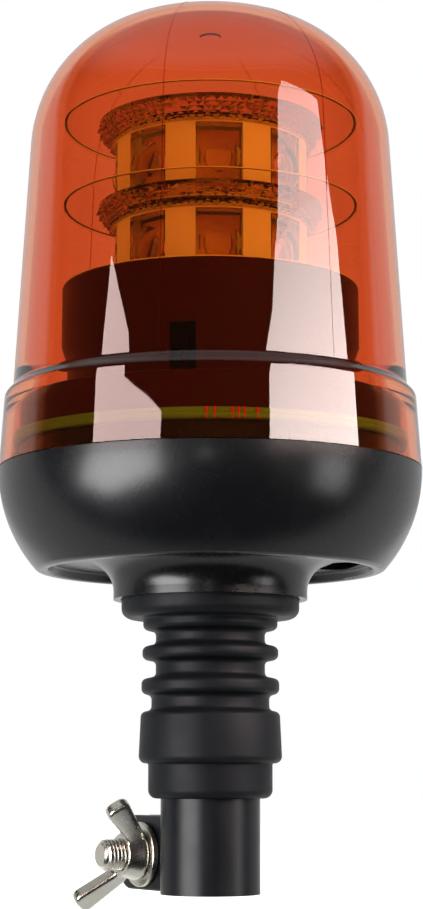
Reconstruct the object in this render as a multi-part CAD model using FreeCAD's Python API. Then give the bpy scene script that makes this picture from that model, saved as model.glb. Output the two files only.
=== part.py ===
import FreeCAD, Part
import math
import os
from collections import namedtuple

# Amber LED beacon on a flexible rubber pole mount.
# Millimetres; the origin is the centre of the clamp tube's mouth, +Z points up the beacon's axis,
# the clamp's ears point to -X and the wing nut faces -Y.

# Clearances between pieces that move on each other, and between pieces of one body
RUN_GAP = 0.3
SHAFT_GAP = 0.05
LOOSE_GAP = 0.4

# Flexible rubber stem, from the sleeve round the clamp tube up to the flange in the base's neck
STEM_Z0 = 28.4
SLEEVE_R = 18.9
SLEEVE_H = 10.5
SLEEVE_TOP_Z = STEM_Z0 + SLEEVE_H
COLLAR_R0 = 21.9
COLLAR_R1 = 21.2
COLLAR_H = 15.3
COLLAR_TOP_Z = SLEEVE_TOP_Z + COLLAR_H
GROOVE_FLANK = 0.8
GROOVE_1_R = 18.0
GROOVE_1_H = 4.2
RIB_1_R = 21.05
RIB_1_H = 4.4
GROOVE_2_R = 16.7
GROOVE_2_H = 4.4
RIB_2_R = 20.8
RIB_2_H = 3.8
GROOVE_3_R = 16.7
GROOVE_3_H = 3.7
STEP_R = 20.6
STEP_H = 3.3
RIBS_H = GROOVE_1_H + RIB_1_H + GROOVE_2_H + RIB_2_H + GROOVE_3_H + 6 * GROOVE_FLANK
STEP_TOP_Z = COLLAR_TOP_Z + RIBS_H + STEP_H
STEM_FLANGE_R = 27.3
STEM_FLANGE_H = 12.2
STEM_TOP_Z = STEP_TOP_Z + STEM_FLANGE_H
STEM_EDGE_R = 1.4
SLEEVE_EDGE_R = 2.6
COLLAR_FOOT_R = 2.2
STEM_GROOVE_FILLET = 1.2
STEM_FLANGE_FILLET = 2.0

# Pole clamp: a split tube with two ears that a coach bolt and a wing nut pinch
BORE_R = 12.6
TUBE_WALL = 2.5
TUBE_R = BORE_R + TUBE_WALL
TUBE_TOP_Z = COLLAR_TOP_Z + 1.8
POLE_STOP_Z = TUBE_TOP_Z - 12.0
CORE_R = BORE_R - 2.0
ANCHOR_R = TUBE_R + 1.9
ANCHOR_Z0 = POLE_STOP_Z + 2.0
ANCHOR_Z1 = ANCHOR_Z0 + 3.0
SLIT_W = 3.0
SLIT_TOP_Z = STEM_Z0 - 2.4
EAR_T = 4.5
EAR_H = 23.0
EAR_REACH = 15.4
EAR_X = -TUBE_R - EAR_REACH
EAR_BOLT_Z = 11.0
EAR_END = 16.0
EAR_CORNER_R = 6.5
EAR_EDGE_R = 0.8
EAR_ROOT_R = 1.5
EAR_FACE_Y = SLIT_W / 2 + EAR_T

# Coach bolt, washer and wing nut
BOLT_R = 4.8
BOLT_HEAD_R = 10.0
BOLT_HEAD_H = 5.0
BOLT_NECK = 2 * BOLT_R
BOLT_REACH = 15.5
BOLT_END_Y = -EAR_FACE_Y - BOLT_REACH
BOLT_CHAMFER = 0.9
WASHER_R = 10.0
WASHER_T = 1.8
NUT_WALL = 1.5
NUT_TOP_R = BOLT_R + NUT_WALL
NUT_BASE_R = NUT_TOP_R + 1.7
NUT_FOOT_H = 1.2
NUT_H = 6.2
WING_T = 4.2
WING_EDGE_R = 1.2
WING_CORNER_R = 2.4
WING_ROOT_Z = 0.8
WING_HEEL = 1.5
WING_TIP_R = 19.6
WING_TIP_H = 14.4
WING_TIP_W = 8.0
WING_SWEEP = 42.0
WING_ANGLE = 39.0

# Sprung centre contact in the head of the clamp tube
CARRIER_Z0 = POLE_STOP_Z + 4.0
CARRIER_H = 13.5
CARRIER_Z1 = CARRIER_Z0 + CARRIER_H
GUIDE_R = 2.3
GUIDE_H = 2.0
CHAMBER_R = 4.0
CARRIER_SNOUT_R = CHAMBER_R + 2.0
PLUNGER_TIP_Z = POLE_STOP_Z + RUN_GAP
PLUNGER_FLANGE_R = CHAMBER_R - LOOSE_GAP
PLUNGER_FLANGE_T = 1.2
TERMINAL_T = 0.8
TAB_W = 3.0
TAB_H = 5.0
SPRING_WIRE_R = 0.35
SPRING_R = CHAMBER_R - 1.3
SPRING_TURNS = 5
STEM_BORE_R = CORE_R + LOOSE_GAP

# Steel plate that is bonded to the stem's top and bolted through the base
PLATE_T = 2.2
PLATE_R = STEM_FLANGE_R - 3.3
PLATE_HOLE_R = 9.2
STUD_R = 2.4
STUD_PITCH_R = (PLATE_R + PLATE_HOLE_R) / 2 + 0.4
STUD_H = 10.5
STEM_NUT_AF = 8.0
STEM_NUT_H = 4.0

# Base housing
WALL = 3.0
NECK_WALL = 2.2
NECK_LAP = 6.4
NECK_BORE_R = STEM_FLANGE_R + RUN_GAP
NECK_R = NECK_BORE_R + NECK_WALL
NECK_Z0 = STEM_TOP_Z - NECK_LAP
NECK_ROOF_Z = STEM_TOP_Z + RUN_GAP + PLATE_T
NECK_FLOOR_Z = NECK_ROOF_Z + 3.5
STUD_TOP_Z = NECK_ROOF_Z + STUD_H
FLARE_R = 9.0
FLARE_Z = NECK_Z0 + 2.4
UNDERSIDE_Z = FLARE_Z + FLARE_R
BASE_R = 65.4
BASE_H = 28.4
BASE_TOP_Z = UNDERSIDE_Z + BASE_H
BOWL_R = 46.0
BASE_RIM_DROP = 2.8
BASE_RIM_Z = UNDERSIDE_Z - BASE_RIM_DROP
BASE_RIM_R = 2.4
BASE_RIM_W = 2.0
BASE_RIM_FILLET = 1.0

# Bayonet between the base's spigot and the lens
LENS_WALL = 2.8
LUG_REACH = 2.3
SPIGOT_GAP = 3.0
SPIGOT_WALL = 2.5
SPIGOT_R = BASE_R - LENS_WALL - SPIGOT_GAP
SPIGOT_IN_R = SPIGOT_R - SPIGOT_WALL
LUG_COUNT = 3
LUG_ANGLE = 20.0
LUG_R = SPIGOT_R + LUG_REACH
LUG_T = 2.0
LENS_Z0 = BASE_TOP_Z + RUN_GAP
LENS_LUG_R = SPIGOT_R + LOOSE_GAP
LENS_LUG_Z0 = LENS_Z0 + RUN_GAP
LENS_LUG_T = 1.7
LUG_Z0 = LENS_LUG_Z0 + LENS_LUG_T + RUN_GAP
STOP_ANGLE = 3.0
STOP_PLAY = 0.5
SEAL_R = 1.1
SEAL_PITCH_R = SPIGOT_R + 0.9
SEAL_Z = LUG_Z0 + LUG_T + SEAL_R + 1.5
SPIGOT_TOP_Z = SEAL_Z + SEAL_R + 1.3

# Screws, bosses and the drain slot of the base
SCREW_R = 1.3
SCREW_HEAD_R = 2.8
SCREW_HEAD_H = 2.0
SCREW_L = 9.0
SCREW_PLAY = 0.2
BOARD_BOSS_R = 3.6
BOARD_BOSS_COUNT = 4
DRUM_BOSS_R = 4.4
DRUM_BOSS_COUNT = 3
DRUM_BOSS_PITCH_R = SPIGOT_IN_R - DRUM_BOSS_R - 0.9
DRUM_Z0 = BASE_TOP_Z + 5.6
DRAIN_L = 24.0
DRAIN_W = 10.0
DRAIN_R = NECK_R + FLARE_R + DRAIN_W / 4
DRAIN_ANGLE = 72.0

# Lens: a collar, a rounded shoulder and a drafted dome
COLLAR_DRAFT = 1.5
COLLAR_TOP_R = BASE_R - COLLAR_DRAFT
LENS_COLLAR_H = 23.0
SHOULDER_Z = BASE_TOP_Z + LENS_COLLAR_H
SHOULDER_R = 2.6
SHOULDER_W = 2.7
SHOULDER_RISE = 2.8
DOME_FOOT_R = COLLAR_TOP_R - SHOULDER_W
DOME_FOOT_Z = SHOULDER_Z + SHOULDER_RISE
DOME_FOOT_FILLET = 1.5
DOME_DRAFT = 3.28
DOME_WALL_L = 78.8
DOME_CORNER_R = 42.7
DOME_CROWN_R = 290.0
GATE_R = 1.5
GATE_H = 2.0

# Driver electronics on the base's floor
BOARD_R = DRUM_BOSS_PITCH_R - DRUM_BOSS_R - 1.1
BOARD_STAND = 15.0
BOARD_Z = UNDERSIDE_Z + WALL + BOARD_STAND
BOARD_T = 1.6
BOARD_TOP_Z = BOARD_Z + BOARD_T
BOARD_HOLE_R = PLATE_HOLE_R + 0.8
BOARD_BOSS_PITCH_R = BOARD_R - 6.0
CAPACITOR_R = 6.3
CAPACITOR_H = 16.0
CAPACITOR_X = -0.6 * BOARD_BOSS_PITCH_R
CAPACITOR_Y = 0.45 * BOARD_BOSS_PITCH_R
CAPACITOR_EDGE_R = 0.8
INDUCTOR_W = 13.0
INDUCTOR_H = 8.0
INDUCTOR_Y = 0.675 * BOARD_BOSS_PITCH_R
INDUCTOR_EDGE_R = 2.0
COOLER_W = 24.0
COOLER_T = 2.0
COOLER_H = 20.0
COOLER_Y = -0.7 * BOARD_BOSS_PITCH_R
REGULATOR_W = 10.0
REGULATOR_T = 4.5
REGULATOR_H = 9.5
LEG_W = 1.0
LEG_T = 0.7
LEG_H = 4.0
LEG_PITCH = 2.5
BLOCK_X = 0.6 * BOARD_BOSS_PITCH_R
BLOCK_W = 8.0
BLOCK_L = 16.0
BLOCK_H = 10.0
BLOCK_MOUTH = 4.0
LEAD_R = 1.1
LEAD_BEND_R = 5.0
LEAD_RISE = 18.4
LEAD_TOP_Z = BOARD_TOP_Z + LEAD_RISE
LEAD_Y = 2.5

# Drum that carries the light tower
DRUM_SCREW_ROOM = 2.5
DRUM_R = DRUM_BOSS_PITCH_R - SCREW_HEAD_R - DRUM_SCREW_ROOM
DRUM_WALL = 2.5
DRUM_H = 51.4
DRUM_TOP_Z = DRUM_Z0 + DRUM_H
DRUM_EDGE_R = 0.8
DRUM_FLANGE_R = SPIGOT_IN_R - LOOSE_GAP
DRUM_SLOT_W = 8.0
DRUM_SLOT_H = 32.0
DRUM_SLOT_TOP_Z = DRUM_Z0 + DRUM_SLOT_H
DRUM_SLOT_ANGLE = -41.0
DRUM_RECESS = 3.7

# Light tower: two tiers, each an octagonal post with eight lamps under a prismatic disc
TIER_COUNT = 8
TIER_ANGLE = -25.8
TIER_H = 24.3
TIER_Z = DRUM_TOP_Z - DRUM_RECESS
POST_APOTHEM = 22.0
POST_WALL = 3.0
POST_BOSS_R = 5.0
POST_WEB_T = 2.5
LED_BOARD_W = 13.6
LED_BOARD_T = 1.2
LED_BOARD_H = 20.0
LED_BOARD_R = POST_APOTHEM + LED_BOARD_T
LED_W = 5.0
LED_T = 1.8
CAGE_R0 = LED_BOARD_R + 1.5
CAGE_R1 = CAGE_R0 + 5.9
CAGE_RING_H = 1.5
OPTIC_W = 14.0
OPTIC_R0 = LED_BOARD_R + LED_T + LOOSE_GAP
OPTIC_R1 = CAGE_R1 - 1.1
OPTIC_BOW = 1.7
OPTIC_CUP_R = 4.2
OPTIC_CUP_H = 2.4
DISC_R = DRUM_R - 0.1
DISC_FLAT_R = CAGE_R1 + 0.4
DISC_T = 2.5
DISC_RISE = 5.2
DISC_PRISM_COUNT = 72
DISC_PRISM_W = 2.4
DISC_PRISM_H = 0.9
STACK_SCREW_R = 2.0
STACK_HOLE_R = STACK_SCREW_R + RUN_GAP
STACK_HEAD_R = 4.0
STACK_HEAD_H = 2.6
STACK_WASHER_R = 6.5
STACK_WASHER_T = 1.2
STACK_NUT_AF = 7.0
STACK_NUT_H = 3.4
STACK_TAIL = 2.0
LED_LEAD_R = 0.9
LED_LEAD_X = -(POST_APOTHEM - POST_WALL + POST_BOSS_R) / 2 + 1.0
LED_LEAD_Y = 3.2

UP = FreeCAD.Vector(0, 0, 1)
ORIGIN = FreeCAD.Vector(0, 0, 0)
Run = namedtuple("Run", "end fillet via")


def trace(start, runs):
    """Edges of a path of straight runs and arcs; a straight run may round its end into the next one."""
    edges = []
    here = start
    for index, run in enumerate(runs):
        if run.via is not None:
            edges.append(Part.Arc(here, run.via, run.end).toShape())
            here = run.end
            continue
        if not run.fillet:
            edges.append(Part.makeLine(here, run.end))
            here = run.end
            continue
        back = (here - run.end).normalize()
        ahead = (runs[index + 1].end - run.end).normalize()
        half = math.acos(back.dot(ahead)) / 2
        middle = (back + ahead).normalize()
        near = run.end + back * (run.fillet / math.tan(half))
        far = run.end + ahead * (run.fillet / math.tan(half))
        via = run.end + middle * (run.fillet / math.sin(half) - run.fillet)
        edges.append(Part.makeLine(here, near))
        edges.append(Part.Arc(near, via, far).toShape())
        here = far
    return edges


def on_rz(r, z):
    """Point of a section in the plane through the axis."""
    return FreeCAD.Vector(r, 0, z)


def on_xy(x, y):
    """Point of a plan at height zero."""
    return FreeCAD.Vector(x, y, 0)


def face(plane, start, *corners):
    """Closed face: a corner is (u, v), (u, v, fillet) or an arc (via u, via v, u, v)."""
    runs = []
    for corner in corners + (start,):
        if len(corner) == 4:
            runs.append(Run(plane(*corner[2:]), 0, plane(*corner[:2])))
        else:
            runs.append(Run(plane(*corner[:2]), corner[2] if len(corner) == 3 else 0, None))
    return Part.Face(Part.Wire(trace(plane(*start), runs)))


def turned(start, *corners):
    """Solid turned about the Z axis from a section in r and z."""
    return face(on_rz, start, *corners).revolve(ORIGIN, UP, 360)


def sector(r0, r1, z0, z1, from_angle, to_angle):
    """Piece of a ring between two angles."""
    piece = face(on_rz, (r0, z0), (r1, z0), (r1, z1), (r0, z1)).revolve(ORIGIN, UP, to_angle - from_angle)
    return spun(piece, from_angle)


def tube(r0, r1, z0, z1):
    """Plain ring."""
    return turned((r0, z0), (r1, z0), (r1, z1), (r0, z1))


def rod(radius, z0, z1, x=0.0, y=0.0):
    """Upright cylinder."""
    return Part.makeCylinder(radius, z1 - z0, FreeCAD.Vector(x, y, z0), UP)


def block(x0, x1, y0, y1, z0, z1):
    """Box between two corners."""
    return Part.makeBox(x1 - x0, y1 - y0, z1 - z0, FreeCAD.Vector(x0, y0, z0))


def prism(sides, apothem, z0, z1):
    """Upright regular prism with a flat facing +X."""
    radius = apothem / math.cos(math.pi / sides)
    turns = [2 * math.pi * (k + 0.5) / sides for k in range(sides)]
    points = [FreeCAD.Vector(radius * math.cos(t), radius * math.sin(t), z0) for t in turns]
    plan = Part.Face(Part.makePolygon(points + points[:1]))
    return plan.extrude(UP * (z1 - z0))


def spun(shape, angle):
    """Copy turned about the Z axis."""
    copy = shape.copy()
    copy.rotate(ORIGIN, UP, angle)
    return copy


def moved(shape, x=0.0, y=0.0, z=0.0):
    """Copy moved without turning."""
    copy = shape.copy()
    copy.translate(FreeCAD.Vector(x, y, z))
    return copy


def around(shape, count, angle=0.0):
    """Copies set evenly round the Z axis."""
    return [spun(shape, angle + k * 360.0 / count) for k in range(count)]


def lead(points, bend_r, radius):
    """Round wire along straight runs with tangent bends."""
    ways = [FreeCAD.Vector(*point) for point in points]
    runs = [Run(way, bend_r, None) for way in ways[1:-1]] + [Run(ways[-1], 0, None)]
    path = Part.Wire(trace(ways[0], runs))
    ring = Part.Wire(Part.makeCircle(radius, ways[0], ways[1] - ways[0]))
    return path.makePipeShell([ring], True, False)


def along_bolt(shape, y):
    """Copy whose Z axis lies along the clamp bolt, towards the nut, with its foot at y."""
    copy = shape.copy()
    along = FreeCAD.Rotation(FreeCAD.Vector(1, 0, 0), UP, FreeCAD.Vector(0, -1, 0), "ZXY")
    copy.Placement = FreeCAD.Placement(FreeCAD.Vector(EAR_X, y, EAR_BOLT_Z), along).multiply(shape.Placement)
    return copy


def clamp_tube():
    """Split tube with a pole stop, two pinch ears and a square hole that holds the bolt's neck."""
    body = turned(
        (BORE_R, 0), (TUBE_R, 0), (TUBE_R, ANCHOR_Z0), (ANCHOR_R, ANCHOR_Z0), (ANCHOR_R, ANCHOR_Z1),
        (TUBE_R, ANCHOR_Z1), (TUBE_R, TUBE_TOP_Z), (CORE_R, TUBE_TOP_Z), (CORE_R, POLE_STOP_Z),
        (BORE_R, POLE_STOP_Z),
    )
    inner_x = -(BORE_R + TUBE_R) / 2
    end_x = EAR_X - EAR_END
    plan = face(
        on_rz, (inner_x, 0), (end_x, 0, EAR_CORNER_R), (end_x, EAR_H, EAR_CORNER_R), (inner_x, EAR_H),
    )
    ear = plan.extrude(FreeCAD.Vector(0, EAR_T, 0))
    outer = [edge for edge in ear.Edges if edge.BoundBox.YMin > EAR_T - 0.01]
    ear = ear.makeFillet(EAR_EDGE_R, [edge for edge in outer if edge.BoundBox.XMin < inner_x - 1])
    ear = moved(ear, y=SLIT_W / 2)
    body = body.fuse([ear, ear.mirror(ORIGIN, FreeCAD.Vector(0, 1, 0))])
    body = body.cut(rod(BORE_R, 0, POLE_STOP_Z))
    roots = [edge for edge in body.Edges if is_ear_root(edge)]
    body = body.makeFillet(EAR_ROOT_R, roots)
    slit = face(
        on_rz, (0, -1), (-TUBE_R - 2, -1), (-TUBE_R - 2, SLIT_TOP_Z), (0, SLIT_TOP_Z),
    ).extrude(FreeCAD.Vector(0, SLIT_W, 0))
    slit_end = FreeCAD.Vector(0, 0, SLIT_TOP_Z)
    crown = Part.makeCylinder(SLIT_W / 2, TUBE_R + 2, slit_end, FreeCAD.Vector(-1, 0, 0))
    half_neck = BOLT_NECK / 2 + LOOSE_GAP / 2
    round_hole = along_bolt(rod(BOLT_R + LOOSE_GAP, 0, EAR_FACE_Y + 1), 0)
    square_hole = along_bolt(block(-half_neck, half_neck, -half_neck, half_neck, -EAR_FACE_Y - 1, 0), 0)
    return body.cut([moved(slit, y=-SLIT_W / 2), crown, round_hole, square_hole])


def is_ear_root(edge):
    """Whether an edge is the upright line where an ear's outer face leaves the tube."""
    box = edge.BoundBox
    root_x = -math.sqrt(TUBE_R ** 2 - EAR_FACE_Y ** 2)
    upright = box.XLength < 0.01 and box.YLength < 0.01 and box.ZLength > EAR_H / 2
    return upright and abs(box.XMin - root_x) < 0.05 and abs(abs(box.YMin) - EAR_FACE_Y) < 0.05


def clamp_bolt():
    """Coach bolt: domed head, square neck and a shank that ends in a chamfer."""
    reach = -BOLT_END_Y
    shank = turned(
        (0, -EAR_FACE_Y - BOLT_HEAD_H),
        (BOLT_HEAD_R * 0.62, -EAR_FACE_Y - BOLT_HEAD_H * 0.78, BOLT_HEAD_R, -EAR_FACE_Y - 1.0),
        (BOLT_HEAD_R, -EAR_FACE_Y), (BOLT_R, -EAR_FACE_Y), (BOLT_R, reach - BOLT_CHAMFER),
        (BOLT_R - BOLT_CHAMFER, reach), (0, reach),
    )
    half = BOLT_NECK / 2
    neck = block(-half, half, -half, half, -EAR_FACE_Y - 0.5, -SLIT_W / 2)
    return along_bolt(shank.fuse(neck), 0)


def clamp_washer():
    """Flat washer between the ear and the wing nut."""
    return along_bolt(tube(BOLT_R + LOOSE_GAP, WASHER_R, 0, WASHER_T), -EAR_FACE_Y - RUN_GAP)


def wing_nut():
    """Tapered hub with two wings swept away from the clamp."""
    sweep = math.radians(WING_SWEEP)
    reach = (WING_TIP_W / 2) * math.sin(sweep)
    drop = (WING_TIP_W / 2) * math.cos(sweep)
    root = BOLT_R + NUT_WALL / 4
    plan = face(
        on_rz, (root, WING_ROOT_Z), (NUT_BASE_R + WING_HEEL, 2 * WING_ROOT_Z, WING_CORNER_R),
        (WING_TIP_R + reach, WING_TIP_H - drop, WING_CORNER_R),
        (WING_TIP_R - reach, WING_TIP_H + drop, WING_CORNER_R),
        (NUT_TOP_R + WING_ROOT_Z / 2, NUT_H, WING_HEEL), (root, NUT_H - WING_ROOT_Z / 2),
    )
    wing = moved(plan.extrude(FreeCAD.Vector(0, WING_T, 0)), y=-WING_T / 2)
    rims = [edge for edge in wing.Edges if edge.BoundBox.YLength < 0.01 and edge.BoundBox.XMax > root + 0.1]
    wing = wing.makeFillet(WING_EDGE_R, rims)
    hub = turned((0, 0), (NUT_BASE_R, 0), (NUT_BASE_R, NUT_FOOT_H), (NUT_TOP_R, NUT_H), (0, NUT_H))
    nut = hub.fuse([wing, spun(wing, 180)])
    nut = nut.cut(rod(BOLT_R + SHAFT_GAP, -1, NUT_H + 1))
    return along_bolt(spun(nut, 90 - WING_ANGLE), -EAR_FACE_Y - WASHER_T - 2 * RUN_GAP)


def contact_carrier():
    """Insulating plug that guides the centre contact and holds its spring."""
    return turned(
        (GUIDE_R, CARRIER_Z0), (CORE_R, CARRIER_Z0), (CORE_R, TUBE_TOP_Z), (CARRIER_SNOUT_R, TUBE_TOP_Z),
        (CARRIER_SNOUT_R, CARRIER_Z1), (CHAMBER_R, CARRIER_Z1), (CHAMBER_R, CARRIER_Z0 + GUIDE_H),
        (GUIDE_R, CARRIER_Z0 + GUIDE_H),
    )


def contact_plunger():
    """Brass contact with a round nose and a flange that keeps it in its guide."""
    nose_r = GUIDE_R - SHAFT_GAP
    flange_z = CARRIER_Z0 + GUIDE_H + RUN_GAP
    slope = nose_r * math.sqrt(0.5)
    return turned(
        (0, PLUNGER_TIP_Z),
        (slope, PLUNGER_TIP_Z + nose_r - slope, nose_r, PLUNGER_TIP_Z + nose_r),
        (nose_r, flange_z), (PLUNGER_FLANGE_R, flange_z), (PLUNGER_FLANGE_R, flange_z + PLUNGER_FLANGE_T),
        (0, flange_z + PLUNGER_FLANGE_T),
    )


def contact_terminal():
    """Brass cap of the spring chamber with a solder tab."""
    cap = rod(CHAMBER_R, CARRIER_Z1 - TERMINAL_T, CARRIER_Z1)
    tab = block(-TERMINAL_T, 0, -TAB_W / 2, TAB_W / 2, CARRIER_Z1 - TERMINAL_T / 2, CARRIER_Z1 + TAB_H)
    return cap.fuse(tab)


def contact_spring():
    """Coil spring between the contact's flange and the terminal."""
    foot = CARRIER_Z0 + GUIDE_H + RUN_GAP + PLUNGER_FLANGE_T + RUN_GAP + SPRING_WIRE_R
    head = CARRIER_Z1 - TERMINAL_T - SPRING_WIRE_R
    coil = Part.makeHelix((head - foot) / SPRING_TURNS, head - foot, SPRING_R)
    ring = Part.Wire(Part.makeCircle(SPRING_WIRE_R, on_xy(SPRING_R, 0), FreeCAD.Vector(0, 1, 0)))
    return moved(Part.Wire(coil).makePipeShell([ring], True, True), z=foot)


def rubber_stem():
    """Hollow rubber stem, bonded round the tube's head, with two grooved ribs and a top flange."""
    outline = [
        (TUBE_R, STEM_Z0), (SLEEVE_R, STEM_Z0, SLEEVE_EDGE_R), (SLEEVE_R, SLEEVE_TOP_Z),
        (COLLAR_R0, SLEEVE_TOP_Z, COLLAR_FOOT_R), (COLLAR_R1, COLLAR_TOP_Z, STEM_EDGE_R),
    ]
    z = COLLAR_TOP_Z
    grooves = ((GROOVE_1_R, GROOVE_1_H), (GROOVE_2_R, GROOVE_2_H), (GROOVE_3_R, GROOVE_3_H))
    ribs = ((RIB_1_R, RIB_1_H), (RIB_2_R, RIB_2_H), (STEP_R, STEP_H))
    for (groove_r, groove_h), (rib_r, rib_h) in zip(grooves, ribs):
        foot_z = z + GROOVE_FLANK
        rib_z = foot_z + groove_h + GROOVE_FLANK
        outline.append((groove_r, foot_z, STEM_GROOVE_FILLET))
        outline.append((groove_r, foot_z + groove_h, STEM_GROOVE_FILLET))
        outline.append((rib_r, rib_z, STEM_EDGE_R))
        z = rib_z + rib_h
        outline.append((rib_r, z, 0 if z > STEP_TOP_Z - RUN_GAP else STEM_EDGE_R))
    outline += [
        (STEM_FLANGE_R, STEP_TOP_Z, STEM_FLANGE_FILLET), (STEM_FLANGE_R, STEM_TOP_Z),
        (STEM_BORE_R, STEM_TOP_Z), (STEM_BORE_R, TUBE_TOP_Z), (TUBE_R, TUBE_TOP_Z), (TUBE_R, ANCHOR_Z1),
        (ANCHOR_R, ANCHOR_Z1), (ANCHOR_R, ANCHOR_Z0), (TUBE_R, ANCHOR_Z0),
    ]
    return turned(*outline)


def stem_plate():
    """Steel ring bonded to the stem's top, with three studs."""
    plate = tube(PLATE_HOLE_R, PLATE_R, STEM_TOP_Z + RUN_GAP, NECK_ROOF_Z)
    studs = around(rod(STUD_R, NECK_ROOF_Z - 1, STUD_TOP_Z, STUD_PITCH_R), 3, 60)
    return plate.fuse(studs)


def hex_nut(across_flats, height, bore_r):
    """Plain hexagon nut with its foot at height zero."""
    return prism(6, across_flats / 2, 0, height).cut(rod(bore_r, -1, height + 1))


def stem_nuts():
    """Nuts that draw the stem's plate up against the base."""
    nut = moved(hex_nut(STEM_NUT_AF, STEM_NUT_H, STUD_R), STUD_PITCH_R, 0, NECK_FLOOR_Z)
    return Part.makeCompound(around(nut, 3, 60))


def bowl_point(radius, angle):
    """Point on an arc round the base bowl's centre, the angle measured down from level."""
    turn = math.radians(angle)
    centre_r = BASE_R - BOWL_R
    return centre_r + radius * math.cos(turn), BASE_TOP_Z - radius * math.sin(turn)


def bowl_angle(radius, z):
    """Angle at which an arc round the base bowl's centre passes a height."""
    return math.degrees(math.asin((BASE_TOP_Z - z) / radius))


def bowl_rim():
    """Centre of the rounding along the bowl's lower edge, and the angle where the bowl runs into it."""
    angle = bowl_angle(BOWL_R - BASE_RIM_R, BASE_RIM_Z + BASE_RIM_R)
    return bowl_point(BOWL_R - BASE_RIM_R, angle) + (angle,)


def base_shell():
    """Turned shell of the base: neck, flared underside, bowl and the spigot for the lens."""
    rim_r, rim_z, rim_angle = bowl_rim()
    bend = math.radians((rim_angle + 90) / 2)
    rim_via = (rim_r + BASE_RIM_R * math.cos(bend), rim_z - BASE_RIM_R * math.sin(bend))
    floor_z = UNDERSIDE_Z + WALL
    inner_r = BOWL_R - WALL
    floor_angle = bowl_angle(inner_r, floor_z)
    step_angle = bowl_angle(inner_r, BASE_TOP_Z - WALL - 2 * SPIGOT_WALL)
    rim_in_r = rim_r - BASE_RIM_W
    flare_in_r = FLARE_R + WALL
    flare_r = NECK_R + FLARE_R
    slope = math.sqrt(0.5)
    foot_turn = math.asin((NECK_FLOOR_Z - FLARE_Z) / flare_in_r)
    foot_via = (foot_turn + math.pi / 2) / 2
    return turned(
        (NECK_BORE_R, NECK_Z0), (NECK_R, NECK_Z0), (NECK_R, FLARE_Z),
        (flare_r - FLARE_R * slope, FLARE_Z + FLARE_R * slope, flare_r, UNDERSIDE_Z),
        (rim_in_r - BASE_RIM_FILLET, UNDERSIDE_Z, BASE_RIM_FILLET), (rim_in_r, BASE_RIM_Z, BASE_RIM_FILLET),
        (rim_r, BASE_RIM_Z),
        rim_via + bowl_point(BOWL_R, rim_angle),
        bowl_point(BOWL_R, rim_angle / 2) + (BASE_R, BASE_TOP_Z),
        (SPIGOT_R, BASE_TOP_Z), (SPIGOT_R, SEAL_Z - SEAL_R), (SEAL_PITCH_R - SEAL_R, SEAL_Z - SEAL_R),
        (SEAL_PITCH_R - SEAL_R, SEAL_Z + SEAL_R), (SPIGOT_R, SEAL_Z + SEAL_R), (SPIGOT_R, SPIGOT_TOP_Z),
        (SPIGOT_IN_R, SPIGOT_TOP_Z), (SPIGOT_IN_R, BASE_TOP_Z - WALL),
        bowl_point(inner_r, step_angle),
        bowl_point(inner_r, (step_angle + floor_angle) / 2) + bowl_point(inner_r, floor_angle),
        (flare_r, floor_z),
        (flare_r - flare_in_r * math.cos(foot_via), FLARE_Z + flare_in_r * math.sin(foot_via),
         flare_r - flare_in_r * math.cos(foot_turn), NECK_FLOOR_Z),
        (PLATE_HOLE_R, NECK_FLOOR_Z), (PLATE_HOLE_R, NECK_ROOF_Z), (NECK_BORE_R, NECK_ROOF_Z),
    )


def base_housing():
    """Black base: shell, screw bosses, bayonet lugs with one stop, stud holes and a drain slot."""
    root_z = UNDERSIDE_Z + WALL / 2
    board_bosses = around(rod(BOARD_BOSS_R, root_z, BOARD_Z, BOARD_BOSS_PITCH_R), BOARD_BOSS_COUNT, 45)
    drum_bosses = around(rod(DRUM_BOSS_R, root_z, DRUM_Z0, DRUM_BOSS_PITCH_R), DRUM_BOSS_COUNT, 30)
    half = LUG_ANGLE / 2
    lug = sector(SPIGOT_R - 1, LUG_R, LUG_Z0, LUG_Z0 + LUG_T, -half, half)
    stop_at = -half - STOP_PLAY
    stop = sector(SPIGOT_R - 1, LUG_R, BASE_TOP_Z - 1, LUG_Z0 + LUG_T, stop_at - STOP_ANGLE, stop_at)
    body = base_shell().fuse(board_bosses + drum_bosses + around(lug, LUG_COUNT) + [stop])
    pilots = around(rod(SCREW_R, BOARD_Z - SCREW_L, BOARD_Z + 1, BOARD_BOSS_PITCH_R), BOARD_BOSS_COUNT, 45)
    pilots += around(rod(SCREW_R, DRUM_Z0 - SCREW_L, DRUM_Z0 + 1, DRUM_BOSS_PITCH_R), DRUM_BOSS_COUNT, 30)
    stud_holes = around(rod(STUD_R + LOOSE_GAP, NECK_ROOF_Z - 1, NECK_FLOOR_Z + 1, STUD_PITCH_R), 3, 60)
    run = (DRAIN_L - DRAIN_W) / 2
    half_w = DRAIN_W / 2
    drain = face(
        on_xy, (-half_w, -run), (0, -run - half_w, half_w, -run), (half_w, run),
        (0, run + half_w, -half_w, run),
    ).extrude(UP * (WALL + 2))
    drain = spun(moved(drain, DRAIN_R, 0, UNDERSIDE_Z - 1), DRAIN_ANGLE)
    return body.cut(pilots + stud_holes + [drain])


def lens_seal():
    """Rubber ring in the spigot's groove."""
    return Part.makeTorus(SEAL_PITCH_R, SEAL_R, FreeCAD.Vector(0, 0, SEAL_Z), UP)


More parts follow.
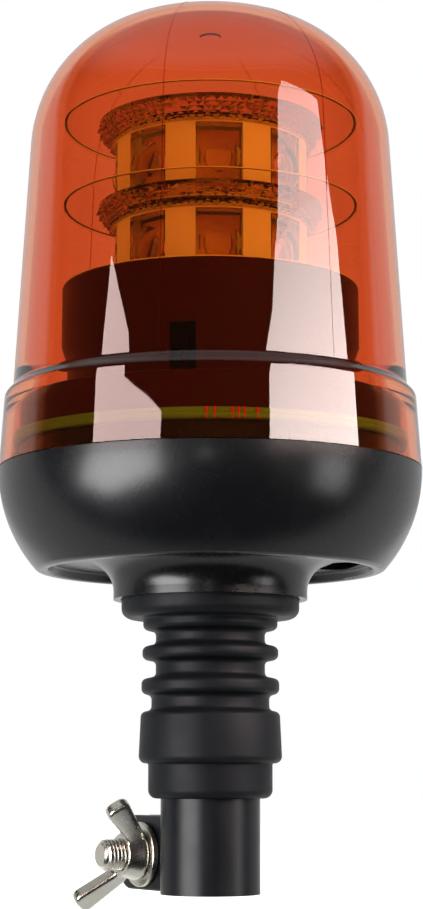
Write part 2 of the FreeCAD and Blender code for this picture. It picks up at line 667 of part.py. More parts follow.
def dome_run(inset):
    """Corners of the dome's section from its foot to its top, drawn inside the outer surface by an inset."""
    draft = math.radians(DOME_DRAFT)
    in_r, in_z = -math.cos(draft), -math.sin(draft)
    wall_r = DOME_FOOT_R - DOME_WALL_L * math.sin(draft)
    wall_z = DOME_FOOT_Z + DOME_WALL_L * math.cos(draft)
    corner_r = wall_r + DOME_CORNER_R * in_r
    corner_z = wall_z + DOME_CORNER_R * in_z
    gap = DOME_CROWN_R - DOME_CORNER_R
    crown_z = corner_z - math.sqrt(gap ** 2 - corner_r ** 2)
    lean = math.asin(corner_r / gap)
    middle = (draft + math.pi / 2 - lean) / 2
    small = DOME_CORNER_R - inset
    large = DOME_CROWN_R - inset
    return (
        (DOME_FOOT_R + inset * in_r, DOME_FOOT_Z + inset * in_z),
        (wall_r + inset * in_r, wall_z + inset * in_z),
        (corner_r + small * math.cos(middle), corner_z + small * math.sin(middle),
         corner_r + small * math.sin(lean), corner_z + small * math.cos(lean)),
        (large * math.sin(lean / 2), crown_z + large * math.cos(lean / 2), 0.0, crown_z + large),
    )


def lens_dome():
    """Amber lens: bayonet collar, rounded shoulder and drafted dome with the moulding gate inside its top."""
    outer = dome_run(0.0)
    inner = dome_run(LENS_WALL)
    foot_z = SHOULDER_Z - LENS_WALL
    inner_foot = (inner[0][0], foot_z + (DOME_FOOT_Z - SHOULDER_Z))
    inner_crown = (inner[3][0], inner[3][1], inner[2][2], inner[2][3])
    inner_corner = (inner[2][0], inner[2][1], inner[1][0], inner[1][1])
    shell = turned(
        (BASE_R - LENS_WALL, LENS_Z0), (BASE_R, LENS_Z0), (COLLAR_TOP_R, SHOULDER_Z, SHOULDER_R),
        outer[0] + (DOME_FOOT_FILLET,), outer[1], outer[2], outer[3], inner[3][2:], inner_crown, inner_corner,
        inner_foot, (COLLAR_TOP_R - LENS_WALL, foot_z),
    )
    half = LUG_ANGLE / 2
    lug = sector(LENS_LUG_R, BASE_R - LENS_WALL / 2, LENS_LUG_Z0, LENS_LUG_Z0 + LENS_LUG_T, -half, half)
    top_z = inner[3][3]
    gate = rod(GATE_R, top_z - GATE_H, top_z + LENS_WALL / 2)
    return shell.fuse(around(lug, LUG_COUNT) + [gate])


def driver_board():
    """Round circuit board with a hole for the leads."""
    hole = rod(SCREW_R + SCREW_PLAY, BOARD_Z - 1, BOARD_TOP_Z + 1, BOARD_BOSS_PITCH_R)
    board = tube(BOARD_HOLE_R, BOARD_R, BOARD_Z, BOARD_TOP_Z)
    return board.cut(around(hole, BOARD_BOSS_COUNT, 45))


def pan_screw(seat_z, pitch_r):
    """Pan-head screw standing in a boss at a pitch radius."""
    screw = turned(
        (0, seat_z - SCREW_L + 1), (SCREW_R, seat_z - SCREW_L + 1), (SCREW_R, seat_z), (SCREW_HEAD_R, seat_z),
        (SCREW_HEAD_R, seat_z + SCREW_HEAD_H, 0.8), (0, seat_z + SCREW_HEAD_H),
    )
    return moved(screw, pitch_r)


def board_screws():
    """Screws of the driver board."""
    return Part.makeCompound(around(pan_screw(BOARD_TOP_Z, BOARD_BOSS_PITCH_R), BOARD_BOSS_COUNT, 45))


def drum_screws():
    """Screws of the drum's flange."""
    return Part.makeCompound(around(pan_screw(DRUM_Z0 + DRUM_WALL, DRUM_BOSS_PITCH_R), DRUM_BOSS_COUNT, 30))


def driver_capacitors():
    """Two upright smoothing capacitors."""
    top_z = BOARD_TOP_Z + CAPACITOR_H
    can = turned(
        (0, BOARD_TOP_Z), (CAPACITOR_R, BOARD_TOP_Z), (CAPACITOR_R, top_z, CAPACITOR_EDGE_R), (0, top_z),
    )
    return Part.makeCompound([moved(can, CAPACITOR_X, side * CAPACITOR_Y) for side in (-1, 1)])


def driver_inductor():
    """Shielded inductor."""
    half = INDUCTOR_W / 2
    body = block(-half, half, -half, half, BOARD_TOP_Z, BOARD_TOP_Z + INDUCTOR_H)
    corners = [edge for edge in body.Edges if edge.BoundBox.ZLength > INDUCTOR_H / 2]
    return moved(body.makeFillet(INDUCTOR_EDGE_R, corners), 0, INDUCTOR_Y)


def driver_regulator():
    """Upright power transistor on its cooling plate."""
    case_z = BOARD_TOP_Z + LEG_H
    case_y = COOLER_Y + REGULATOR_T
    half = COOLER_W / 2
    plate = block(-half, half, COOLER_Y - COOLER_T, COOLER_Y, BOARD_TOP_Z, BOARD_TOP_Z + COOLER_H)
    case = block(-REGULATOR_W / 2, REGULATOR_W / 2, COOLER_Y, case_y, case_z, case_z + REGULATOR_H)
    leg_y = (COOLER_Y + case_y - LEG_T) / 2
    leg = block(-LEG_W / 2, LEG_W / 2, leg_y, leg_y + LEG_T, BOARD_TOP_Z, case_z + LEG_T)
    return plate.fuse([case] + [moved(leg, side * LEG_PITCH) for side in (-1, 0, 1)])


def terminal_block():
    """Two-way terminal block of the incoming leads."""
    top = BOARD_TOP_Z + BLOCK_H
    body = block(BLOCK_X - BLOCK_W / 2, BLOCK_X + BLOCK_W / 2, -BLOCK_L / 2, BLOCK_L / 2, BOARD_TOP_Z, top)
    mouths = [rod(LEAD_R + LOOSE_GAP, top - BLOCK_MOUTH, top + 1, BLOCK_X, side * LEAD_Y) for side in (-1, 1)]
    return body.cut(mouths)


def feed_lead(x, y, z0):
    """Lead that climbs the stem's bore and turns down into the terminal block."""
    end_z = BOARD_TOP_Z + BLOCK_H - BLOCK_MOUTH
    route = [(x, y, z0), (x, y, LEAD_TOP_Z), (BLOCK_X, y, LEAD_TOP_Z), (BLOCK_X, y, end_z)]
    return lead(route, LEAD_BEND_R, LEAD_R)


def lead_positive():
    """Lead from the centre contact's tab."""
    return feed_lead(LEAD_R + RUN_GAP, LEAD_Y, CARRIER_Z1 + 1)


def lead_ground():
    """Lead from the clamp tube's end face."""
    pitch_r = (CARRIER_SNOUT_R + PLATE_HOLE_R) / 2
    return feed_lead(-math.sqrt(pitch_r ** 2 - LEAD_Y ** 2), -LEAD_Y, TUBE_TOP_Z + RUN_GAP)


def led_lead_at(side):
    """One lead from the driver board up the tower to the upper tier."""
    z0 = BOARD_TOP_Z
    return rod(LED_LEAD_R, z0, TIER_Z + 2 * TIER_H, LED_LEAD_X, side * LED_LEAD_Y)


def led_leads():
    """Two leads that feed both tiers."""
    return Part.makeCompound([led_lead_at(-1), led_lead_at(1)])


def lead_holes(z0, z1):
    """Cutters for the tower's leads through a plate."""
    return [rod(LED_LEAD_R + LOOSE_GAP, z0, z1, LED_LEAD_X, side * LED_LEAD_Y) for side in (-1, 1)]


def drum_cover():
    """Black drum with a screw flange, a recessed top that carries the tower and one cable slot."""
    in_r = DRUM_R - DRUM_WALL
    drum = turned(
        (in_r, DRUM_Z0), (DRUM_FLANGE_R, DRUM_Z0), (DRUM_FLANGE_R, DRUM_Z0 + DRUM_WALL),
        (DRUM_R, DRUM_Z0 + DRUM_WALL), (DRUM_R, DRUM_TOP_Z, DRUM_EDGE_R), (in_r, DRUM_TOP_Z), (in_r, TIER_Z),
        (STACK_HOLE_R, TIER_Z), (STACK_HOLE_R, TIER_Z - DRUM_WALL), (in_r, TIER_Z - DRUM_WALL),
    )
    half = DRUM_SLOT_W / 2
    slot = block(in_r - 1, DRUM_R + 1, -half, half, DRUM_Z0 + DRUM_WALL, DRUM_SLOT_TOP_Z)
    hole = rod(SCREW_R + SCREW_PLAY, DRUM_Z0 - 1, DRUM_Z0 + DRUM_WALL + 1, DRUM_BOSS_PITCH_R)
    cutters = around(hole, DRUM_BOSS_COUNT, 30) + lead_holes(TIER_Z - DRUM_WALL - 1, TIER_Z + 1)
    return drum.cut(cutters + [spun(slot, DRUM_SLOT_ANGLE)])


def tier_z(tier):
    """Foot of a tier of the tower."""
    return TIER_Z + tier * (TIER_H + DISC_T)


def led_post(tier):
    """Extruded octagonal post with a bored middle on four webs."""
    z0 = tier_z(tier)
    z1 = z0 + TIER_H
    hollow = prism(TIER_COUNT, POST_APOTHEM - POST_WALL, z0 - 1, z1 + 1)
    shell = prism(TIER_COUNT, POST_APOTHEM, z0, z1).cut(hollow)
    reach = POST_APOTHEM - POST_WALL / 2
    half = POST_WEB_T / 2
    web = block(0, reach, -half, half, z0, z1)
    core = rod(POST_BOSS_R, z0, z1)
    post = shell.fuse([core] + around(web, 4, 45 - TIER_ANGLE))
    return spun(post.cut(rod(STACK_HOLE_R, z0 - 1, z1 + 1)), TIER_ANGLE)


def led_boards(tier):
    """Eight narrow boards on the post's flats."""
    z0 = tier_z(tier) + (TIER_H - LED_BOARD_H) / 2
    half = LED_BOARD_W / 2
    board = block(POST_APOTHEM, LED_BOARD_R, -half, half, z0, z0 + LED_BOARD_H)
    return Part.makeCompound(around(board, TIER_COUNT, TIER_ANGLE))


def leds(tier):
    """Eight light-emitting diodes, one on each board."""
    z0 = tier_z(tier) + (TIER_H - LED_W) / 2
    half = LED_W / 2
    chip = block(LED_BOARD_R, LED_BOARD_R + LED_T, -half, half, z0, z0 + LED_W)
    return Part.makeCompound(around(chip, TIER_COUNT, TIER_ANGLE))


def collimators(tier):
    """Eight clear blocks with bowed fronts and a cup over each diode, which gather the light."""
    half = OPTIC_W / 2
    height = TIER_H - 2 * CAGE_RING_H
    z0 = tier_z(tier) + CAGE_RING_H
    plan = face(
        on_xy,
        (OPTIC_R0, -half),
        (OPTIC_R1, -half),
        (OPTIC_R1 + OPTIC_BOW, 0, OPTIC_R1, half),
        (OPTIC_R0, half),
    )
    outward = FreeCAD.Vector(1, 0, 0)
    mouth = FreeCAD.Vector(OPTIC_R0, 0, height / 2)
    cup = Part.makeCone(OPTIC_CUP_R, OPTIC_CUP_R / 2, OPTIC_CUP_H, mouth, outward)
    optic = moved(plan.extrude(UP * height).cut(cup), z=z0)
    return Part.makeCompound(around(optic, TIER_COUNT, TIER_ANGLE))


def led_carrier(tier):
    """White cage whose bars stand between the clear blocks."""
    z0 = tier_z(tier)
    half = OPTIC_W / 2 + RUN_GAP / 2
    ring = tube(CAGE_R0, CAGE_R1, z0, z0 + TIER_H)
    window = block(CAGE_R0 - 2, CAGE_R1 + 2, -half, half, z0 + CAGE_RING_H, z0 + TIER_H - CAGE_RING_H)
    return ring.cut(around(window, TIER_COUNT, TIER_ANGLE))


def prism_disc(tier):
    """Clear disc with a flat middle and a dished brim whose underside is cut into radial prisms."""
    z0 = tier_z(tier) + TIER_H
    disc = turned(
        (STACK_HOLE_R, z0), (DISC_FLAT_R, z0), (DISC_R, z0 + DISC_RISE), (DISC_R, z0 + DISC_RISE + DISC_T),
        (DISC_FLAT_R, z0 + DISC_T), (STACK_HOLE_R, z0 + DISC_T),
    )
    slope = FreeCAD.Vector(DISC_R - DISC_FLAT_R, 0, DISC_RISE)
    half = DISC_PRISM_W / 2
    corners = [FreeCAD.Vector(0, -half, 0), FreeCAD.Vector(0, half, 0), FreeCAD.Vector(0, 0, DISC_PRISM_H)]
    groove = Part.Face(Part.makePolygon(corners + corners[:1])).extrude(slope * 1.2)
    groove = moved(groove, DISC_FLAT_R, 0, z0)
    cutters = around(groove, DISC_PRISM_COUNT)
    if tier == 0:
        cutters += lead_holes(z0 - 1, z0 + DISC_T + 1)
    return disc.cut(cutters)


def stack_top_z():
    """Upper face of the upper disc."""
    return tier_z(1) + TIER_H + DISC_T


def stack_washer():
    """Washer under the tie screw's head."""
    return tube(STACK_HOLE_R, STACK_WASHER_R, stack_top_z(), stack_top_z() + STACK_WASHER_T)


def stack_screw():
    """Long tie screw that holds both tiers on the drum."""
    seat = stack_top_z() + STACK_WASHER_T
    foot = TIER_Z - DRUM_WALL - STACK_NUT_H - STACK_TAIL
    return turned(
        (0, foot), (STACK_SCREW_R, foot), (STACK_SCREW_R, seat), (STACK_HEAD_R, seat),
        (STACK_HEAD_R, seat + STACK_HEAD_H, 1.0), (0, seat + STACK_HEAD_H),
    )


def stack_nut():
    """Nut of the tie screw, under the drum's top."""
    return moved(hex_nut(STACK_NUT_AF, STACK_NUT_H, STACK_SCREW_R), z=TIER_Z - DRUM_WALL - STACK_NUT_H)


PIECES = {
    "clamp_tube": clamp_tube(),
    "clamp_bolt": clamp_bolt(),
    "clamp_washer": clamp_washer(),
    "wing_nut": wing_nut(),
    "contact_carrier": contact_carrier(),
    "contact_plunger": contact_plunger(),
    "contact_terminal": contact_terminal(),
    "contact_spring": contact_spring(),
    "rubber_stem": rubber_stem(),
    "stem_plate": stem_plate(),
    "stem_nuts": stem_nuts(),
    "lead_positive": lead_positive(),
    "lead_ground": lead_ground(),
    "base_housing": base_housing(),
    "lens_seal": lens_seal(),
    "driver_board": driver_board(),
    "board_screws": board_screws(),
    "driver_capacitors": driver_capacitors(),
    "driver_inductor": driver_inductor(),
    "driver_regulator": driver_regulator(),
    "terminal_block": terminal_block(),
    "drum_cover": drum_cover(),
    "drum_screws": drum_screws(),
    "led_leads": led_leads(),
    "led_post_lower": led_post(0),
    "led_post_upper": led_post(1),
    "led_boards_lower": led_boards(0),
    "led_boards_upper": led_boards(1),
    "leds_lower": leds(0),
    "leds_upper": leds(1),
    "collimators_lower": collimators(0),
    "collimators_upper": collimators(1),
    "led_carrier_lower": led_carrier(0),
    "led_carrier_upper": led_carrier(1),
    "prism_disc_lower": prism_disc(0),
    "prism_disc_upper": prism_disc(1),
    "stack_washer": stack_washer(),
    "stack_screw": stack_screw(),
    "stack_nut": stack_nut(),
    "lens_dome": lens_dome(),
}

os.makedirs("parts", exist_ok=True)
for name, piece in PIECES.items():
    piece.exportStep("parts/" + name + ".step")
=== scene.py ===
"""Looks of an amber warning light on a flexible pole mount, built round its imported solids.

The classes hold their sizes in millimetres, in the frame of the solids. The origin is the centre of the
clamp tube's mouth, +Z runs up the light, the clamp's ears point to -X and the wing nut faces -Y.
"""

from __future__ import annotations

import logging
import math
import random
from dataclasses import dataclass
from enum import Enum
from typing import Any

import bmesh
import bpy
from bmesh.types import BMEdge, BMesh, BMVert
from bpy.types import Material, Node, NodeSocket, NodeTree, Object
from mathutils import Matrix, Vector

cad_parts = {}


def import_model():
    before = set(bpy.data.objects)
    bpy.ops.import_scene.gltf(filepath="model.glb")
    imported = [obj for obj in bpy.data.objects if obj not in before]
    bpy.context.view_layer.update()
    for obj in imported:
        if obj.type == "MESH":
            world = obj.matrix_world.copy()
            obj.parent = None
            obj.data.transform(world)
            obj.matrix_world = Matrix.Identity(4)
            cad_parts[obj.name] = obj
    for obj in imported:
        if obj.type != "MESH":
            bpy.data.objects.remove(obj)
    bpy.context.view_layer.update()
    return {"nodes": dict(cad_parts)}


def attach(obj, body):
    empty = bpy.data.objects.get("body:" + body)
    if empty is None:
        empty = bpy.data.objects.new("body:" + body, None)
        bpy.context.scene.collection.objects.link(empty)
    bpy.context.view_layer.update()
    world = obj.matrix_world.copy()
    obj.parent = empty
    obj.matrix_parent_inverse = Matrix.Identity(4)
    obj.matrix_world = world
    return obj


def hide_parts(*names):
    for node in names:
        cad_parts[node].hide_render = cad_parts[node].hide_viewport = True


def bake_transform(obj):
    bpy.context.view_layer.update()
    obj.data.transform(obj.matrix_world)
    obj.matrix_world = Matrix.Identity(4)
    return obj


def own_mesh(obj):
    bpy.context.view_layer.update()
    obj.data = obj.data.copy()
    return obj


LOG = logging.getLogger("warning_light")
MM = 0.001
MERGE = 1e-6
FULL_TURN = 360.0
QUARTER_TURN = math.radians(90.0)
ORIGIN = Vector((0.0, 0.0, 0.0))
UP = Vector((0.0, 0.0, 1.0))
WHITE = "#FFFFFF"
# Most of a noise pattern lies between these two values
NOISE_LOW = 0.3
NOISE_HIGH = 0.7


class Body(str, Enum):
    """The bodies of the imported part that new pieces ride."""

    CLAMP = "clamp"
    WASHER = "nut_washer"
    NUT = "wing_nut"
    STEM = "stem_core"
    HEAD = "head"
    LENS = "lens"


class Slot(str, Enum):
    """Names of material slots."""

    ZINC = "zinc_steel"
    RUBBER = "rubber_black"
    CLEAR = "clear_plastic"
    LENS = "amber_lens"
    BASE = "base_plastic"
    LEAD_RED = "lead_red"
    LEAD_BLACK = "lead_black"
    NYLON = "nylon_white"


class Tier(Enum):
    """The two tiers of the light tower, with the height of each foot in millimetres."""

    LOWER = 181.7
    UPPER = 208.5

    @property
    def label(self) -> str:
        """The tier's name in lower case, as the solids are named."""
        return self.name.lower()


def linear(hex_colour: str) -> tuple[float, float, float, float]:
    """Turns an sRGB hex colour into linear light.

    Args:
        hex_colour: Six hex digits after a hash sign.

    Returns:
        Red, green, blue and a full alpha.
    """
    parts = [int(hex_colour[i : i + 2], 16) / 255 for i in (1, 3, 5)]
    light = [c / 12.92 if c <= 0.04045 else ((c + 0.055) / 1.055) ** 2.4 for c in parts]
    return (light[0], light[1], light[2], 1.0)


def per_mm(size: float) -> float:
    """Texture scale, per metre, that makes a pattern's feature a given number of millimetres wide."""
    return 1.0 / (size * MM)


def add_node(tree: NodeTree, kind: str, inputs: dict[Any, Any] | None = None, **settings: Any) -> Node:
    """Adds a node with its settings, values and links.

    Args:
        tree: The tree that gets the node.
        kind: The node's Blender type.
        inputs: Socket names or numbers, each with a value or with the output socket to link.
        settings: The node's own properties.

    Returns:
        The new node.
    """
    node = tree.nodes.new(kind)
    for key, value in settings.items():
        setattr(node, key, value)
    for key, value in (inputs or {}).items():
        if isinstance(value, NodeSocket):
            tree.links.new(value, node.inputs[key])
        else:
            node.inputs[key].default_value = value
    return node


def new_material(name: str) -> tuple[Material, NodeTree]:
    """Starts an empty node material.

    Args:
        name: The material's name.

    Returns:
        The material and its node tree.
    """
    material = bpy.data.materials.new(name)
    material.use_nodes = True
    material.node_tree.nodes.clear()
    return material, material.node_tree


@dataclass(frozen=True)
class Finish:
    """What all finishes share: two shades, an uneven gloss and a fine relief."""

    name: str
    colour: str
    second: str
    roughness: float
    spread: float
    relief_mm: float

    def material(self) -> Material:
        """Builds the material once and reuses it after that.

        Returns:
            The node material.
        """
        if self.name in bpy.data.materials:
            return bpy.data.materials[self.name]
        material, tree = new_material(self.name)
        place = add_node(tree, "ShaderNodeTexCoord").outputs["Object"]
        add_node(tree, "ShaderNodeOutputMaterial", {"Surface": self.surface(tree, place)})
        return material

    def surface(self, tree: NodeTree, place: NodeSocket) -> NodeSocket:
        """The shader, which each kind of finish builds for itself."""
        raise NotImplementedError

    def two_tone(self, tree: NodeTree, share: NodeSocket) -> NodeSocket:
        """Mixes the two shades.

        Args:
            tree: The material's tree.
            share: Share of the second shade.

        Returns:
            The mixed colour.
        """
        shades = {0: share, 6: linear(self.colour), 7: linear(self.second)}
        return add_node(tree, "ShaderNodeMix", shades, data_type="RGBA").outputs[2]

    def uneven(self, tree: NodeTree, gloss_from: NodeSocket, relief_from: NodeSocket) -> dict[str, Any]:
        """Makes a gloss that varies and a relief, each from a pattern.

        Args:
            tree: The material's tree.
            gloss_from: Pattern of the gloss.
            relief_from: Pattern of the relief.

        Returns:
            The roughness and the normal for a shader.
        """
        ramp = {"Value": gloss_from, 1: NOISE_LOW, 2: NOISE_HIGH}
        ramp |= {3: self.roughness - self.spread, 4: self.roughness + self.spread}
        gloss = add_node(tree, "ShaderNodeMapRange", ramp)
        height = {"Height": relief_from, "Strength": 1.0, "Distance": self.relief_mm * MM}
        relief = add_node(tree, "ShaderNodeBump", height)
        return {"Roughness": gloss.outputs[0], "Normal": relief.outputs["Normal"]}


@dataclass(frozen=True)
class Moulding(Finish):
    """Opaque moulding, coating or board: mottled colour, fine grain and uneven gloss."""

    mottle_mm: float
    grain_mm: float
    specular: float = 0.5

    def surface(self, tree: NodeTree, place: NodeSocket) -> NodeSocket:
        """Builds the shader.

        Args:
            tree: The material's tree.
            place: Coordinates of the piece.

        Returns:
            The shader's output.
        """
        mottle = {"Vector": place, "Scale": per_mm(self.mottle_mm), "Detail": 5.0, "Roughness": 0.6}
        patches = add_node(tree, "ShaderNodeTexNoise", mottle).outputs["Fac"]
        fine = {"Vector": place, "Scale": per_mm(self.grain_mm), "Detail": 3.0}
        grain = add_node(tree, "ShaderNodeTexNoise", fine).outputs["Fac"]
        skin = {"Base Color": self.two_tone(tree, patches), "Specular IOR Level": self.specular}
        skin |= self.uneven(tree, patches, grain)
        return add_node(tree, "ShaderNodeBsdfPrincipled", skin).outputs[0]


@dataclass(frozen=True)
class MetalSkin(Finish):
    """Bare or plated metal: patchy tint, uneven gloss and marks that may be drawn out along an axis."""

    patch_mm: float
    mark_mm: float
    drawn: tuple[float, float, float] = (1.0, 1.0, 1.0)

    def surface(self, tree: NodeTree, place: NodeSocket) -> NodeSocket:
        """Builds the shader.

        Args:
            tree: The material's tree.
            place: Coordinates of the piece.

        Returns:
            The shader's output.
        """
        tinted = {"Vector": place, "Scale": per_mm(self.patch_mm), "Detail": 4.0}
        patches = add_node(tree, "ShaderNodeTexNoise", tinted).outputs["Fac"]
        drawn = add_node(tree, "ShaderNodeMapping", {"Vector": place, "Scale": self.drawn}).outputs[0]
        worked = {"Vector": drawn, "Scale": per_mm(self.mark_mm), "Detail": 4.0}
        marks = add_node(tree, "ShaderNodeTexNoise", worked).outputs["Fac"]
        skin = {"Base Color": self.two_tone(tree, patches), "Metallic": 1.0}
        skin |= self.uneven(tree, marks, marks)
        return add_node(tree, "ShaderNodeBsdfPrincipled", skin).outputs[0]


@dataclass(frozen=True)
class ClearMoulding(Finish):
    """Transparent moulding that lets lamp light through; its second shade is for a slanting view."""

    flow_mm: float
    shadow: str
    ior: float = 1.49

    def surface(self, tree: NodeTree, place: NodeSocket) -> NodeSocket:
        """Builds the shader.

        Args:
            tree: The material's tree.
            place: Coordinates of the piece.

        Returns:
            The shader's output.
        """
        ripple = {"Vector": place, "Scale": per_mm(self.flow_mm), "Detail": 1.0}
        flow = add_node(tree, "ShaderNodeTexNoise", ripple).outputs["Fac"]
        slant = add_node(tree, "ShaderNodeLayerWeight", {"Blend": 0.5}).outputs["Facing"]
        wall = {"Base Color": self.two_tone(tree, slant), "IOR": self.ior, "Transmission Weight": 1.0}
        wall |= self.uneven(tree, flow, flow)
        body = add_node(tree, "ShaderNodeBsdfPrincipled", wall).outputs[0]
        passed = add_node(tree, "ShaderNodeBsdfTransparent", {"Color": linear(self.shadow)}).outputs[0]
        rays = add_node(tree, "ShaderNodeLightPath").outputs["Is Shadow Ray"]
        return add_node(tree, "ShaderNodeMixShader", {0: rays, 1: body, 2: passed}).outputs[0]


# Real grain is finer than the render can show, so every grain below is drawn 0.5 to 1.1 mm wide
# Polypropylene, spark-eroded tool: black, satin, a fine even grain that softens highlights
BASE_PLASTIC = Moulding(
    "moulded_black_polypropylene", "#0D0E11", "#121316",
    roughness=0.27, spread=0.02, relief_mm=0.006, mottle_mm=9.0, grain_mm=0.7,
)
# Styrene from a smooth tool: near black and hardly any gloss. Its maroon cast is painted light, the red of
# the light inside the lens
DRUM_PLASTIC = Moulding(
    "moulded_black_styrene", "#3A0C08", "#300A07",
    roughness=0.36, spread=0.03, relief_mm=0.008, mottle_mm=12.0, grain_mm=0.9, specular=0.1,
)
# Natural-rubber mix: matt and slightly blue black
STEM_RUBBER = Moulding(
    "moulded_black_rubber", "#101216", "#16181C",
    roughness=0.5, spread=0.06, relief_mm=0.02, mottle_mm=5.0, grain_mm=0.8, specular=0.18,
)
# Polyester powder coat on cast alloy: satin black with a slight orange peel
POWDER_COAT = Moulding(
    "powder_coated_casting", "#0F1114", "#13151A",
    roughness=0.34, spread=0.04, relief_mm=0.012, mottle_mm=6.0, grain_mm=0.9, specular=0.28,
)
# Nylon of the contact's carrier: white, faintly warm, low gloss
WHITE_NYLON = Moulding(
    "moulded_white_nylon", "#F2EEDC", "#E6DFC6",
    roughness=0.45, spread=0.05, relief_mm=0.01, mottle_mm=7.0, grain_mm=0.8,
)
# Solder mask over glass cloth: mid green, blotchy under the lacquer
GREEN_BOARD = Moulding(
    "green_circuit_board", "#1E5A32", "#2C7040",
    roughness=0.35, spread=0.08, relief_mm=0.02, mottle_mm=2.5, grain_mm=0.9,
)
# Phenolic paper laminate: light orange tan with a soft fleck
PAPER_BOARD = Moulding(
    "phenolic_paper_board", "#F0A474", "#DE9464",
    roughness=0.4, spread=0.06, relief_mm=0.015, mottle_mm=2.5, grain_mm=0.9,
)
# Polycarbonate of the reflector bars: ivory with a satin skin. The same ivory paints the highlight lines
# round the rims
IVORY = Moulding(
    "moulded_ivory_polycarbonate", "#EEE1AF", "#E6D59A",
    roughness=0.36, spread=0.05, relief_mm=0.008, mottle_mm=7.0, grain_mm=0.8,
)
# Silicone rubber, pigmented: soft green that turns olive behind the lens, a dull waxy skin
GREEN_SILICONE = Moulding(
    "green_silicone_rubber", "#52983A", "#64A848",
    roughness=0.42, spread=0.08, relief_mm=0.02, mottle_mm=1.6, grain_mm=0.8,
)
# Marking lacquer: bright red and glossy
RED_LACQUER = Moulding(
    "red_marking_lacquer", "#D81A14", "#C81410",
    roughness=0.3, spread=0.05, relief_mm=0.01, mottle_mm=2.0, grain_mm=0.8,
)
# Soft PVC insulation: slightly waxy
RED_PVC = Moulding(
    "red_pvc_insulation", "#B01818", "#C83024",
    roughness=0.4, spread=0.06, relief_mm=0.01, mottle_mm=3.0, grain_mm=0.8,
)
BLACK_PVC = Moulding(
    "black_pvc_insulation", "#1C1C1E", "#242427",
    roughness=0.42, spread=0.06, relief_mm=0.01, mottle_mm=3.0, grain_mm=0.8,
)
# Silicone with phosphor over the diode: warm tan, a little granular
PHOSPHOR = Moulding(
    "phosphor_silicone", "#DC985C", "#E6A66C",
    roughness=0.3, spread=0.06, relief_mm=0.02, mottle_mm=0.8, grain_mm=0.5,
)
# Sintered ferrite: grey black, dry
FERRITE = Moulding(
    "sintered_ferrite", "#2B2B2D", "#38383A",
    roughness=0.6, spread=0.08, relief_mm=0.03, mottle_mm=2.0, grain_mm=0.7,
)
# Polyamide of the terminal block: mid green, satin
TERMINAL_PLASTIC = Moulding(
    "moulded_green_polyamide", "#2C6A3A", "#357A45",
    roughness=0.42, spread=0.06, relief_mm=0.01, mottle_mm=4.0, grain_mm=0.8,
)
# Zinc plate with a clear passivate: bright, with faint straw patches and fine pitting
ZINC = MetalSkin(
    "zinc_plated_steel", "#E2E1DC", "#CFCCBA",
    roughness=0.3, spread=0.05, relief_mm=0.008, patch_mm=5.0, mark_mm=1.1,
)
# Turned brass with tool marks round its axis
BRASS = MetalSkin(
    "turned_brass", "#D9B45C", "#C29A48",
    roughness=0.26, spread=0.06, relief_mm=0.01, patch_mm=4.0, mark_mm=0.7, drawn=(1.0, 1.0, 3.0),
)
# Extruded aluminium: die lines run along its length
ALUMINIUM = MetalSkin(
    "extruded_aluminium", "#C9CBCE", "#B4B7BB",
    roughness=0.33, spread=0.08, relief_mm=0.015, patch_mm=6.0, mark_mm=0.9, drawn=(3.0, 3.0, 0.15),
)
# Tinted acrylic: clear deep orange, glassy, with the slow ripple of a moulded wall
AMBER_ACRYLIC = ClearMoulding(
    "tinted_amber_acrylic", "#EC976E", "#D87446",
    roughness=0.014, spread=0.004, relief_mm=0.02, flow_mm=26.0, shadow="#E7EE95",
)
# Clear acrylic optics: water clear and sharp
CLEAR_ACRYLIC = ClearMoulding(
    "clear_acrylic", "#FAF7EE", "#EFE9DA",
    roughness=0.02, spread=0.01, relief_mm=0.01, flow_mm=6.0, shadow="#FBF8F0",
)
# Clear polycarbonate prisms: sharp facets that bend light hard. Their tan tint is painted shade that
# darkens what is seen through them
PRISM_PLASTIC = ClearMoulding(
    "prismatic_polycarbonate", "#D8B294", "#BE9674",
    roughness=0.02, spread=0.01, relief_mm=0.01, flow_mm=6.0, shadow="#F4E8DA", ior=1.585,
)
# The thin brim of a disc, bloomed against reflections: hardly to be seen but for its rim
BLOOMED_BRIM = ClearMoulding(
    "bloomed_clear_acrylic", "#FCFAF4", "#F4F0E6",
    roughness=0.02, spread=0.01, relief_mm=0.01, flow_mm=6.0, shadow="#FBF8F0", ior=1.006,
)


def whole(bm: BMesh) -> list[Any]:
    """All points, edges and faces of a shape."""
    return bm.verts[:] + bm.edges[:] + bm.faces[:]


def tidy(bm: BMesh) -> BMesh:
    """Merges doubled points and turns every face outwards.

    Args:
        bm: A closed shape.

    Returns:
        The same bmesh.
    """
    bmesh.ops.remove_doubles(bm, verts=bm.verts[:], dist=MERGE)
    bmesh.ops.recalc_face_normals(bm, faces=bm.faces[:])
    return bm


def round_off(
    bm: BMesh, items: list[Any], reach: float, segments: int, affect: str = "EDGES", clamp: bool = False
) -> None:
    """Rounds edges or corners.

    Args:
        bm: The shape.
        items: Its edges or corners.
        reach: How far from them the rounding starts, in metres.
        segments: Edges in each rounding.
        affect: EDGES or VERTICES.
        clamp: Whether the rounding stops where it would meet the next one.
    """
    bmesh.ops.bevel(
        bm,
        geom=items,
        offset=reach,
        offset_type="OFFSET",
        segments=segments,
        profile=0.5,
        affect=affect,
        material=-1,
        clamp_overlap=clamp,
    )


